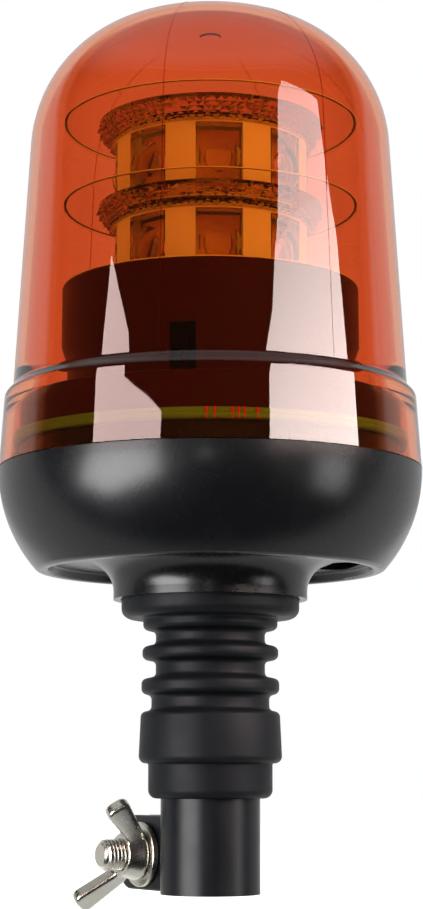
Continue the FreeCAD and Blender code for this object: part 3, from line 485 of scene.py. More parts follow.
def spin(bm: BMesh, degrees: float, steps: int, rise: float = 0.0, copies: bool = False) -> None:
    """Spins a whole shape about the Z axis.

    Args:
        bm: The shape.
        degrees: Sweep of the spin, which joins up with its start after one full turn.
        steps: Steps in the sweep.
        rise: How far each step climbs, in metres.
        copies: Whether each step leaves a loose copy in place of a skin.
    """
    bmesh.ops.spin(
        bm,
        geom=whole(bm),
        cent=ORIGIN,
        axis=UP,
        dvec=UP * rise,
        angle=math.radians(degrees),
        steps=steps,
        use_merge=degrees == FULL_TURN,
        use_duplicate=copies,
    )


def swing(bm: BMesh, degrees: float) -> BMesh:
    """Turns a shape about the Z axis.

    Args:
        bm: The shape.
        degrees: Angle of the turn.

    Returns:
        The same bmesh.
    """
    turn = Matrix.Rotation(math.radians(degrees), 3, "Z")
    bmesh.ops.rotate(bm, verts=bm.verts[:], cent=ORIGIN, matrix=turn)
    return bm


def repeat(bm: BMesh, count: int, first_degrees: float) -> BMesh:
    """Copies a shape evenly round the light's axis.

    Args:
        bm: The shape at angle zero.
        count: How many stand round the axis.
        first_degrees: Angle of the first.

    Returns:
        The same bmesh with all copies.
    """
    swing(bm, first_degrees)
    spin(bm, FULL_TURN * (count - 1) / count, count - 1, copies=True)
    return bm


def cut_away(bm: BMesh, point: Vector, outwards: Vector) -> None:
    """Cuts a shape flat and closes the cut.

    Args:
        bm: The shape.
        point: A point of the cutting plane, in millimetres.
        outwards: Direction of the side that is taken away.
    """
    cut = bmesh.ops.bisect_plane(
        bm, geom=whole(bm), plane_co=point * MM, plane_no=outwards, clear_outer=True
    )
    rim = [item for item in cut["geom_cut"] if isinstance(item, BMEdge)]
    bmesh.ops.contextual_create(bm, geom=rim)


def absorb(bm: BMesh, other: BMesh) -> BMesh:
    """Moves one bmesh's shapes into another.

    Args:
        bm: The bmesh that is kept.
        other: The bmesh that is freed.

    Returns:
        The kept bmesh.
    """
    carrier = bpy.data.meshes.new("carrier")
    other.to_mesh(carrier)
    other.free()
    bm.from_mesh(carrier)
    bpy.data.meshes.remove(carrier)
    return bm


class Section:
    """Half section of a turned piece, drawn in the plane through its axis, in millimetres."""

    def __init__(self, r: float, z: float) -> None:
        """Starts the section.

        Args:
            r: Radius of its first point.
            z: Height of that point.
        """
        self.bm: BMesh = bmesh.new()
        self.first: BMVert = self.bm.verts.new((r * MM, 0.0, z * MM))
        self.tip: BMVert = self.first
        self.rounded: list[tuple[BMVert, float]] = []

    def line(self, r: float, z: float, fillet: float = 0.0) -> Section:
        """Draws a straight run.

        Args:
            r: Radius of its end.
            z: Height of its end.
            fillet: Rounding of that corner.

        Returns:
            The section, for the next run.
        """
        corner = self.bm.verts.new((r * MM, 0.0, z * MM))
        self.bm.edges.new((self.tip, corner))
        self.tip = corner
        if fillet:
            self.rounded.append((corner, fillet * MM))
        return self

    def path(self, *corners: tuple[float, ...]) -> Section:
        """Draws straight runs.

        Args:
            corners: Radius and height of the end of each run, and its rounding where it has one.

        Returns:
            The section, for the next run.
        """
        for corner in corners:
            self.line(*corner)
        return self

    def arc(self, r: float, z: float, degrees: float, steps: int) -> Section:
        """Draws an arc from the section's tip.

        Args:
            r: Radius at which the arc's centre lies.
            z: Height of the centre.
            degrees: Sweep, positive from outwards to upwards.
            steps: Number of edges.

        Returns:
            The section, for the next run.
        """
        swept = bmesh.ops.spin(
            self.bm,
            geom=[self.tip],
            cent=(r * MM, 0.0, z * MM),
            axis=(0.0, -1.0, 0.0),
            dvec=ORIGIN,
            angle=math.radians(degrees),
            steps=steps,
            use_merge=False,
        )
        self.tip = next(item for item in swept["geom_last"] if isinstance(item, BMVert))
        return self

    def close(self) -> Section:
        """Joins the tip to the section's start."""
        self.bm.edges.new((self.tip, self.first))
        return self

    def round_corners(self, segments: int = 5) -> BMesh:
        """Rounds the corners that have a fillet.

        Args:
            segments: Edges in each rounding.

        Returns:
            The section's outline.
        """
        for corner, radius in self.rounded:
            one, two = (edge.other_vert(corner).co - corner.co for edge in corner.link_edges)
            reach = radius / math.tan(one.angle(two) / 2)
            round_off(self.bm, [corner], reach, segments, "VERTICES")
        return self.bm

    def turn(self, steps: int, degrees: float = FULL_TURN, segments: int = 5) -> BMesh:
        """Turns the section about its axis.

        Args:
            steps: Facets round the turn.
            degrees: Sweep of the turn.
            segments: Edges in each rounding of the section.

        Returns:
            The turned shape.
        """
        spin(self.round_corners(segments), degrees, steps)
        return tidy(self.bm)


def settle(bm: BMesh, name: str, finish: Finish, sharp: float = 32.0) -> Object:
    """Makes a finished shape an object.

    Args:
        bm: The shape, which is freed.
        name: The piece's name.
        finish: Its finish.
        sharp: Angle in degrees above which an edge stays crisp.

    Returns:
        The object, at the origin.
    """
    mesh = bpy.data.meshes.new(name)
    bm.to_mesh(mesh)
    bm.free()
    mesh.materials.append(finish.material())
    mesh.shade_smooth()
    mesh.set_sharp_from_angle(angle=math.radians(sharp))
    piece = bpy.data.objects.new(name, mesh)
    bpy.context.scene.collection.objects.link(piece)
    LOG.info("%s: %d faces in %s", name, len(mesh.polygons), finish.name)
    return piece


def assign(piece: Object, body: Body, node: str = "") -> None:
    """Tells the frame where a piece belongs.

    Args:
        piece: The piece.
        body: The body that it rides.
        node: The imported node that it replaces, if any.
    """
    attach(piece, body.value)
    if node:
        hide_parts(node)


def dress(nodes: dict[str, Object], finishes: dict[str, Finish]) -> None:
    """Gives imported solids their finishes.

    Args:
        nodes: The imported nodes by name.
        finishes: A finish for each node's name.
    """
    for name, finish in finishes.items():
        for holder in nodes[name].material_slots:
            holder.material = finish.material()
        LOG.info("%s dressed in %s", name, finish.name)


@dataclass
class PoleClamp:
    """Split tube with its coach bolt, washer, wing nut and sprung contact."""

    bolt_x: float = -30.5
    bolt_z: float = 11.0
    bolt_r: float = 4.8
    bolt_end: float = 21.5
    bolt_chamfer: float = 1.44
    bolt_facets: int = 48
    ear_face: float = 6.0
    head_r: float = 10.0
    head_h: float = 5.0
    head_rim: float = 1.0
    head_edge: float = 0.3
    head_steps: int = 12
    neck_end: float = 1.5
    neck_sink: float = 0.4
    neck_edge: float = 0.5
    pitch: float = 1.25
    thread_start: float = 3.0
    thread_depth: float = 0.7
    thread_steps: int = 28
    # Heights as shares of the thread's depth, at shares of its pitch
    thread_form: tuple[tuple[float, float], ...] = (
        (0.0, 0.0),
        (0.0, 0.12),
        (1.0, 0.46),
        (1.0, 0.58),
        (0.0, 0.92),
        (0.0, 1.0),
    )
    washer_r0: float = 5.2
    washer_r1: float = 10.0
    washer_t: float = 1.8
    washer_at: float = 6.3
    washer_chamfer: float = 0.2
    washer_foot_edge: float = 0.5
    washer_top_edge: float = 0.35
    nut_facets: int = 64
    nut_at: float = 8.4
    nut_bore: float = 4.85
    nut_base_r: float = 8.0
    nut_top_r: float = 6.3
    nut_foot: float = 1.2
    nut_h: float = 6.2
    nut_foot_edge: float = 0.3
    nut_top_edge: float = 0.6
    wing_t: float = 4.2
    wing_inset: float = 0.3
    wing_foot_h: float = 0.8
    wing_heel_w: float = 1.5
    wing_heel_h: float = 1.6
    wing_corner: float = 2.4
    wing_tip_r: float = 19.6
    wing_tip_h: float = 14.4
    wing_tip_w: float = 8.0
    wing_neck: float = 0.4
    wing_neck_round: float = 1.5
    wing_edge: float = 0.9
    wing_sweep: float = 42.0
    wing_angle: float = 39.0
    cast_voxel: float = 0.32
    cast_rounds: int = 5
    contact_run: float = 4.0

    def on_bolt(self, bm: BMesh, offset: float, roll: float = 0.0) -> BMesh:
        """Lays an upright shape along the bolt.

        Args:
            bm: A shape that stands on its origin.
            offset: Distance of its foot from the clamp's middle plane.
            roll: Turn about the bolt in degrees.

        Returns:
            The same bmesh, in place.
        """
        place = Matrix.Translation((self.bolt_x * MM, -offset * MM, self.bolt_z * MM))
        lay = Matrix.Rotation(QUARTER_TURN, 4, "X")
        spin_on = Matrix.Rotation(math.radians(roll), 4, "Z")
        bmesh.ops.transform(bm, matrix=place @ lay @ spin_on, verts=bm.verts[:])
        return bm

    def thread(self) -> BMesh:
        """Rolled thread of the bolt's end, cut flat at both ends.

        Returns:
            The thread as a closed shape along +Z.
        """
        bm = bmesh.new()
        root = self.bolt_r - self.thread_depth
        start = self.thread_start - self.pitch
        verts = []
        for height, share in self.thread_form:
            radius = root + height * self.thread_depth
            verts.append(bm.verts.new((radius * MM, 0.0, (start + share * self.pitch) * MM)))
        for low, high in zip(verts, verts[1:]):
            bm.edges.new((low, high))
        turns = math.ceil((self.bolt_end - self.thread_start) / self.pitch) + 1
        spin(bm, FULL_TURN * turns, self.thread_steps * turns, self.pitch * MM / self.thread_steps)
        bmesh.ops.remove_doubles(bm, verts=bm.verts[:], dist=MERGE)
        cut_away(bm, UP * self.thread_start, -UP)
        cut_away(bm, UP * self.bolt_end, UP)
        for vert in bm.verts:
            room = self.bolt_r - self.bolt_chamfer + (self.bolt_end - vert.co.z / MM)
            radius = math.hypot(vert.co.x, vert.co.y) / MM
            if radius > room:
                vert.co.x *= room / radius
                vert.co.y *= room / radius
        return tidy(bm)

    def neck(self) -> BMesh:
        """Square neck of the bolt, its edges rounded.

        Returns:
            The neck as a closed shape along +Z.
        """
        bm = bmesh.new()
        size = 2 * self.bolt_r * MM
        foot = -self.ear_face - self.neck_sink
        length = self.ear_face + self.neck_sink - self.neck_end
        shape = Matrix.Translation((0.0, 0.0, (foot + length / 2) * MM))
        shape = shape @ Matrix.Diagonal((size, size, length * MM, 1.0))
        bmesh.ops.create_cube(bm, size=1.0, matrix=shape)
        round_off(bm, bm.edges[:], self.neck_edge * MM, segments=3)
        return bm

    def bolt(self) -> Object:
        """Coach bolt with a domed head, a square neck and a threaded end.

        Returns:
            The bolt's object.
        """
        foot = -self.ear_face
        rise = self.head_h - self.head_rim
        dome_r = (self.head_r**2 + rise**2) / (2 * rise)
        sweep = math.degrees(math.asin(self.head_r / dome_r))
        head = Section(0.0, foot - self.head_h)
        head.arc(0.0, foot - self.head_h + dome_r, sweep, self.head_steps).path(
            (self.head_r, foot, self.head_edge),
            (self.bolt_r, foot),
            (self.bolt_r, self.thread_start),
            (0.0, self.thread_start),
        )
        bm = absorb(head.turn(self.bolt_facets), self.neck())
        return settle(self.on_bolt(absorb(bm, self.thread()), 0.0), "clamp_bolt_threaded", ZINC)

    def washer(self) -> Object:
        """Flat washer with the rounded edges that stamping leaves.

        Returns:
            The washer's object.
        """
        inner = self.washer_r0 + self.washer_chamfer
        ring = Section(self.washer_r0, self.washer_chamfer).path(
            (inner, 0.0),
            (self.washer_r1, 0.0, self.washer_foot_edge),
            (self.washer_r1, self.washer_t, self.washer_top_edge),
            (inner, self.washer_t),
            (self.washer_r0, self.washer_t - self.washer_chamfer),
        )
        bm = ring.close().turn(self.nut_facets)
        return settle(self.on_bolt(bm, self.washer_at), "clamp_washer_stamped", ZINC)

    def wing(self) -> BMesh:
        """One wing of the nut, standing out along +X.

        Returns:
            The wing as a closed shape.
        """
        sweep = math.radians(self.wing_sweep)
        out = self.wing_tip_w / 2 * math.sin(sweep)
        drop = self.wing_tip_w / 2 * math.cos(sweep)
        root = self.nut_bore + self.wing_inset
        plan = Section(root, self.wing_foot_h).path(
            (self.nut_base_r + self.wing_heel_w, self.wing_heel_h, self.wing_corner),
            (self.wing_tip_r + out, self.wing_tip_h - drop, self.wing_corner),
            (self.wing_tip_r - out, self.wing_tip_h + drop, self.wing_corner),
            (self.nut_top_r + self.wing_neck, self.nut_h, self.wing_neck_round),
            (root, self.nut_h - self.wing_neck),
        )
        bm = plan.close().round_corners()
        side = bmesh.ops.contextual_create(bm, geom=bm.edges[:])["faces"]
        grown = bmesh.ops.extrude_face_region(bm, geom=side)
        moved = [item for item in grown["geom"] if isinstance(item, BMVert)]
        bmesh.ops.translate(bm, verts=moved, vec=(0.0, self.wing_t * MM, 0.0))
        bmesh.ops.translate(bm, verts=bm.verts[:], vec=(0.0, -self.wing_t / 2 * MM, 0.0))
        tidy(bm)
        rims = [edge for edge in bm.edges if abs(edge.verts[0].co.y - edge.verts[1].co.y) < MERGE]
        round_off(bm, rims, self.wing_edge * MM, segments=4, clamp=True)
        return tidy(bm)

    def wing_nut(self) -> Object:
        """Cast wing nut: hub and wings run into each other with soft roots.

        Returns:
            The nut's object.
        """
        hub = Section(self.nut_bore, 0.0).path(
            (self.nut_base_r, 0.0, self.nut_foot_edge),
            (self.nut_base_r, self.nut_foot),
            (self.nut_top_r, self.nut_h, self.nut_top_edge),
            (self.nut_bore, self.nut_h),
        )
        bm = hub.close().turn(self.nut_facets)
        for side in (0.0, FULL_TURN / 2):
            absorb(bm, swing(self.wing(), side))
        draft = settle(bm, "wing_nut_draft", ZINC)
        fused = draft.modifiers.new("cast_in_one", "REMESH")
        fused.mode = "VOXEL"
        fused.voxel_size = self.cast_voxel * MM
        cast = bmesh.new()
        cast.from_object(draft, bpy.context.evaluated_depsgraph_get())
        bpy.data.objects.remove(draft)
        for _ in range(self.cast_rounds):
            bmesh.ops.smooth_vert(
                cast, verts=cast.verts[:], factor=0.5, use_axis_x=True, use_axis_y=True, use_axis_z=True
            )
        self.on_bolt(tidy(cast), self.nut_at, 90.0 - self.wing_angle)
        return settle(cast, "wing_nut_cast", ZINC, sharp=60.0)

    def spring(self, node: Object) -> None:
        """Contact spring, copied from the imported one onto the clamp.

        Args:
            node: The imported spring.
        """
        bm = bmesh.new()
        bm.from_mesh(node.data)
        coil = settle(tidy(bm), "contact_spring_coil", ZINC)
        assign(coil, Body.CLAMP, "contact_spring")
        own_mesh(coil)

    def build(self, nodes: dict[str, Object]) -> None:
        """Builds the clamp's hardware and dresses its solids.

        Args:
            nodes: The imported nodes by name.
        """
        assign(self.bolt(), Body.CLAMP, "clamp_bolt")
        assign(self.washer(), Body.WASHER, "clamp_washer")
        assign(self.wing_nut(), Body.NUT, "wing_nut")
        self.spring(nodes["contact_spring"])
        dress(
            nodes,
            {
                "clamp_tube": POWDER_COAT,
                "contact_carrier": WHITE_NYLON,
                "contact_plunger": BRASS,
                "contact_terminal": BRASS,
            },
        )


@dataclass
class FlexStem:
    """Hollow rubber stem and its leads, in two lengths that meet at the bending centre."""

    foot_z: float = 28.4
    sleeve_r: float = 18.9
    sleeve_top: float = 38.9
    collar_r0: float = 21.9
    collar_r1: float = 21.2
    collar_top: float = 54.2
    tube_r: float = 15.1
    tube_top: float = 56.0
    bore_r: float = 11.0
    split_z: float = 66.8
    flange_r: float = 27.3
    flange_z: float = 82.8
    top_z: float = 95.0
    flex_from: float = 55.5
    flex_to: float = 78.2
    edge: float = 1.6
    hollow: float = 1.4
    sleeve_edge: float = 2.6
    sleeve_root: float = 0.5
    collar_foot: float = 2.2
    flange_root: float = 0.8
    flange_edge: float = 3.0
    facets: int = 128
    round_steps: int = 6
    sharp: float = 40.0
    lead_step: float = 1.5
    # Radius and height of the corners of grooves and ribs, the ribs' crests beyond crest_r
    crest_r: float = 20.0
    lower_ribs: tuple[tuple[float, float], ...] = (
        (18.0, 55.0),
        (18.0, 59.2),
        (21.05, 60.2),
        (21.05, 64.2),
        (16.7, 65.2),
    )
    upper_ribs: tuple[tuple[float, float], ...] = (
        (16.7, 69.6),
        (20.8, 70.5),
        (20.8, 74.0),
        (16.7, 75.0),
        (16.7, 78.7),
        (20.6, 79.6),
    )

    def ribbed(self, section: Section, ribs: tuple[tuple[float, float], ...]) -> Section:
        """Adds grooves and ribs to a section.

        Args:
            section: The section so far.
            ribs: Radius and height of each corner.

        Returns:
            The section.
        """
        for r, z in ribs:
            section.line(r, z, self.edge if r > self.crest_r else self.hollow)
        return section

    def lower(self) -> Object:
        """Sleeve, collar and first rib, below the bending centre.

        Returns:
            The lower length's object.
        """
        skin = Section(self.tube_r, self.foot_z).path(
            (self.sleeve_r, self.foot_z, self.sleeve_edge),
            (self.sleeve_r, self.sleeve_top, self.sleeve_root),
            (self.collar_r0, self.sleeve_top, self.collar_foot),
            (self.collar_r1, self.collar_top, self.edge),
        )
        self.ribbed(skin, self.lower_ribs).path(
            (self.lower_ribs[-1][0], self.split_z),
            (self.bore_r, self.split_z),
            (self.bore_r, self.tube_top),
            (self.tube_r, self.tube_top),
        )
        bm = skin.close().turn(self.facets, segments=self.round_steps)
        return settle(bm, "stem_rubber_lower", STEM_RUBBER, self.sharp)

    def upper(self) -> Object:
        """Second rib, step and flange, above the bending centre.

        Returns:
            The upper length's object.
        """
        skin = Section(self.bore_r, self.split_z).line(self.upper_ribs[0][0], self.split_z)
        self.ribbed(skin, self.upper_ribs).path(
            (self.upper_ribs[-1][0], self.flange_z, self.flange_root),
            (self.flange_r, self.flange_z, self.flange_edge),
            (self.flange_r, self.top_z),
            (self.bore_r, self.top_z),
        )
        bm = skin.close().turn(self.facets, segments=self.round_steps)
        return settle(bm, "stem_rubber_upper", STEM_RUBBER, self.sharp)

    def lead(self, node: Object, name: str, finish: Finish, upwards: float) -> Object:
        """One length of a lead, cut at the bending centre and divided finely where it bends.

        Args:
            node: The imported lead.
            name: The piece's name.
            finish: Its finish.
            upwards: 1 for the length above the centre, -1 for the length below.

        Returns:
            The lead's object.
        """
        bm = bmesh.new()
        bm.from_mesh(node.data)
        cut_away(tidy(bm), UP * self.split_z, UP * -upwards)
        for step in range(1, math.ceil((self.flex_to - self.split_z) / self.lead_step) + 1):
            level = self.split_z + upwards * step * self.lead_step
            bmesh.ops.bisect_plane(bm, geom=whole(bm), plane_co=(0.0, 0.0, level * MM), plane_no=UP)
        return settle(tidy(bm), name, finish)

    def hang(self, lower: Object, upper: Object, node: str) -> None:
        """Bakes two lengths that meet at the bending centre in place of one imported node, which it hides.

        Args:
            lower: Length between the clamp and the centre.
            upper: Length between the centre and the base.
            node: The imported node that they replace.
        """
        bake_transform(lower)
        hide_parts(node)
        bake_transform(upper)

    def build(self, nodes: dict[str, Object]) -> None:
        """Builds the stem and its leads, and dresses the plate on it.

        Args:
            nodes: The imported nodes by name.
        """
        self.hang(self.lower(), self.upper(), "rubber_stem")
        for node, finish, slot in (
            ("lead_positive", RED_PVC, Slot.LEAD_RED),
            ("lead_ground", BLACK_PVC, Slot.LEAD_BLACK),
        ):
            below = self.lead(nodes[node], f"{node}_lower", finish, -1.0)
            above = self.lead(nodes[node], f"{node}_upper", finish, 1.0)
            self.hang(below, above, node)
        dress(nodes, {"stem_plate": ZINC, "stem_nuts": ZINC})


@dataclass
class BaseUnit:
    """Black base with its electronics, the spigot's upper wall, and the lens seal's lip and marks."""

    facets: int = 128
    spigot_r0: float = 57.0
    spigot_r1: float = 59.3
    spigot_z0: float = 138.05
    spigot_z1: float = 149.4
    spigot_edge: float = 0.6
    lip_r0: float = 59.55
    lip_r1: float = 61.2
    lip_z0: float = 136.5
    lip_t: float = 1.5
    lip_foot_edge: float = 0.2
    lip_top_edge: float = 0.4
    mark_angles: tuple[float, ...] = (-32.0, -29.8, -25.2, -23.6, -22.0, -18.6)
    mark_r: float = 0.36
    mark_at: float = 61.25
    mark_z0: float = 134.7
    mark_edge: float = 0.1
    mark_facets: int = 12

    def spigot_wall(self) -> Object:
        """Upper wall of the spigot, which darkens the collar as far as the shoulder.

        Returns:
            The wall's object.
        """
        wall = Section(self.spigot_r0, self.spigot_z0).path(
            (self.spigot_r1, self.spigot_z0),
            (self.spigot_r1, self.spigot_z1, self.spigot_edge),
            (self.spigot_r0, self.spigot_z1, self.spigot_edge),
        )
        return settle(wall.close().turn(self.facets), "spigot_upper_wall", DRUM_PLASTIC)

    def seal_lip(self) -> Object:
        """Upper lip of the lens seal, which shows through the collar as a band.

        Returns:
            The lip's object.
        """
        top = self.lip_z0 + self.lip_t
        ring = Section(self.lip_r0, self.lip_z0).path(
            (self.lip_r1, self.lip_z0, self.lip_foot_edge),
            (self.lip_r1, top, self.lip_top_edge),
            (self.lip_r0, top),
        )
        return settle(ring.close().turn(self.facets), "lens_seal_lip", GREEN_SILICONE)

    def seal_marks(self) -> Object:
        """Short red marks across the seal, where it lies in front.

        Returns:
            The marks' object.
        """
        group = bmesh.new()
        height = self.lip_z0 + self.lip_t - self.mark_z0
        for angle in self.mark_angles:
            strip = Section(0.0, 0.0).path(
                (self.mark_r, 0.0, self.mark_edge), (self.mark_r, height, self.mark_edge), (0.0, height)
            )
            bm = strip.turn(self.mark_facets, segments=2)
            bmesh.ops.translate(bm, verts=bm.verts[:], vec=(self.mark_at * MM, 0.0, self.mark_z0 * MM))
            absorb(group, swing(bm, angle))
        return settle(group, "lens_seal_marks", RED_LACQUER)

    def build(self, nodes: dict[str, Object]) -> None:
        """Builds the spigot's wall and the seal's lip and marks, and dresses the base.

        Args:
            nodes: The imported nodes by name.
        """
        assign(self.spigot_wall(), Body.HEAD)
        assign(self.seal_lip(), Body.HEAD)
        assign(self.seal_marks(), Body.HEAD)
        dress(
            nodes,
            {
                "base_housing": BASE_PLASTIC,
                "lens_seal": GREEN_SILICONE,
                "driver_board": GREEN_BOARD,
                "board_screws": ZINC,
                "driver_capacitors": ALUMINIUM,
                "driver_inductor": FERRITE,
                "driver_regulator": ALUMINIUM,
                "terminal_block": TERMINAL_PLASTIC,
            },
        )


@dataclass
class LightTower:
    """Drum and two tiers of lamps: clear optics round a post, each tier under a prismatic disc."""

    facets: int = 128
    lamp_count: int = 8
    first_lamp: float = -25.8
    tier_h: float = 24.3
    optic_r0: float = 27.4
    optic_r1: float = 30.0
    optic_w: float = 13.8
    optic_h: float = 21.1
    optic_facets: int = 48
    optic_margin: float = 1.0
    groove_r: float = 6.5
    groove_w: float = 1.5
    groove_depth: float = 1.0
    groove_edge: float = 0.3
    eye_r: float = 4.2
    eye_bulge_r: float = 6.5
    eye_steps: int = 8
    # Size and edges of the thin ivory rings that paint highlight lines round the rims
    highlight_ring_w: float = 0.8
    highlight_ring_h: float = 0.38
    highlight_ring_foot_edge: float = 0.1
    highlight_ring_top_edge: float = 0.2
    drum_r: float = 46.0
    drum_top: float = 185.4
    disc_hole: float = 2.3
    disc_flat: float = 30.8
    cone_r: float = 35.4
    disc_r: float = 46.4
    disc_rise: float = 4.9
    skirt_drop: float = 1.1
    skirt_w: float = 0.3
    disc_t: float = 2.2
    brim_t: float = 1.2
    brim_edge: float = 0.3
    prism_rows: int = 5
    prisms_round: int = 84
    prism_h: float = 0.85
    prism_shift: float = 0.85
    prism_lean: float = 0.3
    prism_seed: int = 7

    def optic(self) -> BMesh:
        """Clear block whose front has a bull's eye in a turned groove.

        Returns:
            The block along +X, centred on height zero.
        """
        depth = self.optic_r1 - self.optic_r0
        reach = math.hypot(self.optic_w, self.optic_h) / 2 + self.optic_margin
        eye_z = depth - self.groove_depth / 2
        centre = eye_z - math.sqrt(self.eye_bulge_r**2 - self.eye_r**2)
        sweep = math.degrees(math.asin(self.eye_r / self.eye_bulge_r))
        face = Section(0.0, 0.0).path(
            (reach, 0.0),
            (reach, depth),
            (self.groove_r, depth, self.groove_edge),
            (self.groove_r - self.groove_w, depth - self.groove_depth, self.groove_edge),
            (self.eye_r, eye_z),
        )
        bm = face.arc(0.0, centre, sweep, self.eye_steps).turn(self.optic_facets, segments=3)
        for side in (-1.0, 1.0):
            cut_away(bm, Vector((side * self.optic_h / 2, 0.0, 0.0)), Vector((side, 0.0, 0.0)))
            cut_away(bm, Vector((0.0, side * self.optic_w / 2, 0.0)), Vector((0.0, side, 0.0)))
        lay = Matrix.Translation((self.optic_r0 * MM, 0.0, 0.0)) @ Matrix.Rotation(QUARTER_TURN, 4, "Y")
        bmesh.ops.transform(bm, matrix=lay, verts=bm.verts[:])
        return tidy(bm)

    def optics(self, tier: Tier) -> Object:
        """All optics of one tier.

        Args:
            tier: Which tier.

        Returns:
            The optics' object.
        """
        bm = self.optic()
        bmesh.ops.translate(bm, verts=bm.verts[:], vec=UP * ((tier.value + self.tier_h / 2) * MM))
        repeat(bm, self.lamp_count, self.first_lamp)
        return settle(bm, f"tower_optics_{tier.label}", CLEAR_ACRYLIC, sharp=25.0)

    def disc(self, tier: Tier) -> Object:
        """Hat of a disc: a flat plate and a cone with rows of uneven pyramids underneath.

        Args:
            tier: Which tier it covers.

        Returns:
            The disc's object.
        """
        foot = tier.value + self.tier_h
        brim = foot + self.disc_rise
        skirt = foot - self.skirt_drop
        inner = self.disc_flat - self.skirt_w
        width = self.cone_r - self.disc_flat
        rim = Section(self.disc_hole, foot).path((inner, foot), (inner, skirt), (self.disc_flat, skirt))
        for row in range(1, self.prism_rows + 1):
            share = row / self.prism_rows
            rim.line(self.disc_flat + width * share, skirt + (brim - skirt) * share)
        rim.path(
            (self.cone_r, brim + self.brim_t),
            (self.cone_r - self.brim_t, brim + self.brim_t),
            (self.disc_flat - self.brim_t, foot + self.disc_t),
            (self.disc_hole, foot + self.disc_t),
        )
        bm = rim.close().turn(self.prisms_round)
        cells = {}
        for cell in bm.faces:
            middle = cell.calc_center_median()
            out = math.hypot(middle.x, middle.y) / MM - self.disc_flat
            if cell.normal.z < -self.prism_lean and 0.0 < out < width:
                around = math.atan2(middle.y, middle.x) % math.tau / math.tau
                cells[int(around * self.prisms_round), int(out / width * self.prism_rows)] = cell
        chance = random.Random(self.prism_seed)
        # Column by column, because the operator's own order is not the same each time
        for place in sorted(cells):
            peak = bmesh.ops.poke(
                bm, faces=[cells[place]], offset=self.prism_h * MM, center_mode="MEAN_WEIGHTED"
            )
            aside = [chance.uniform(-1.0, 1.0) for _ in range(2)]
            peak["verts"][0].co += Vector(aside + [0.0]) * (self.prism_shift * MM)
        return settle(bm, f"tower_disc_{tier.label}", PRISM_PLASTIC, sharp=15.0)

    def brim(self, tier: Tier) -> Object:
        """Thin flat brim round the hat of a disc.

        Args:
            tier: Which tier it covers.

        Returns:
            The brim's object.
        """
        foot = tier.value + self.tier_h + self.disc_rise
        top = foot + self.brim_t
        rim = Section(self.cone_r, foot).path(
            (self.disc_r, foot, self.brim_edge), (self.disc_r, top, self.brim_edge), (self.cone_r, top)
        )
        return settle(rim.close().turn(self.facets), f"tower_brim_{tier.label}", BLOOMED_BRIM)

    def rim_highlight(self, name: str, r: float, z: float) -> Object:
        """Thin ivory ring that paints a highlight line round a rim.

        Args:
            name: The piece's name.
            r: Outer radius.
            z: Height of its foot.

        Returns:
            The bead's object.
        """
        ring = Section(r - self.highlight_ring_w, z).path(
            (r, z, self.highlight_ring_foot_edge),
            (r, z + self.highlight_ring_h, self.highlight_ring_top_edge),
            (r - self.highlight_ring_w, z + self.highlight_ring_h, self.highlight_ring_top_edge),
        )
        return settle(ring.close().turn(self.facets, segments=3), name, IVORY)

    def build(self, nodes: dict[str, Object]) -> None:
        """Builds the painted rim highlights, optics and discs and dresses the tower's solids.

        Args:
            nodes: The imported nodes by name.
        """
        # The thin ivory rings round the drum's rim and the discs' rims are painted highlight lines
        assign(self.rim_highlight("drum_rim_painted_highlight", self.drum_r, self.drum_top), Body.HEAD)
        for tier in Tier:
            brim_top = tier.value + self.tier_h + self.disc_rise + self.brim_t
            rim_highlight = self.rim_highlight(f"disc_rim_painted_highlight_{tier.label}", self.disc_r, brim_top)
            assign(rim_highlight, Body.HEAD)
            assign(self.optics(tier), Body.HEAD, f"collimators_{tier.label}")
            assign(self.disc(tier), Body.HEAD, f"prism_disc_{tier.label}")
            assign(self.brim(tier), Body.HEAD)
            dress(
                nodes,
                {
                    f"led_post_{tier.label}": ALUMINIUM,
                    f"led_boards_{tier.label}": PAPER_BOARD,
                    f"leds_{tier.label}": PHOSPHOR,
                    f"led_carrier_{tier.label}": IVORY,
                },
            )
        dress(
            nodes,
            {
                "drum_cover": DRUM_PLASTIC,
                "drum_screws": ZINC,
                "led_leads": RED_PVC,
                "stack_washer": ZINC,
                "stack_screw": ZINC,
                "stack_nut": ZINC,
            },
        )


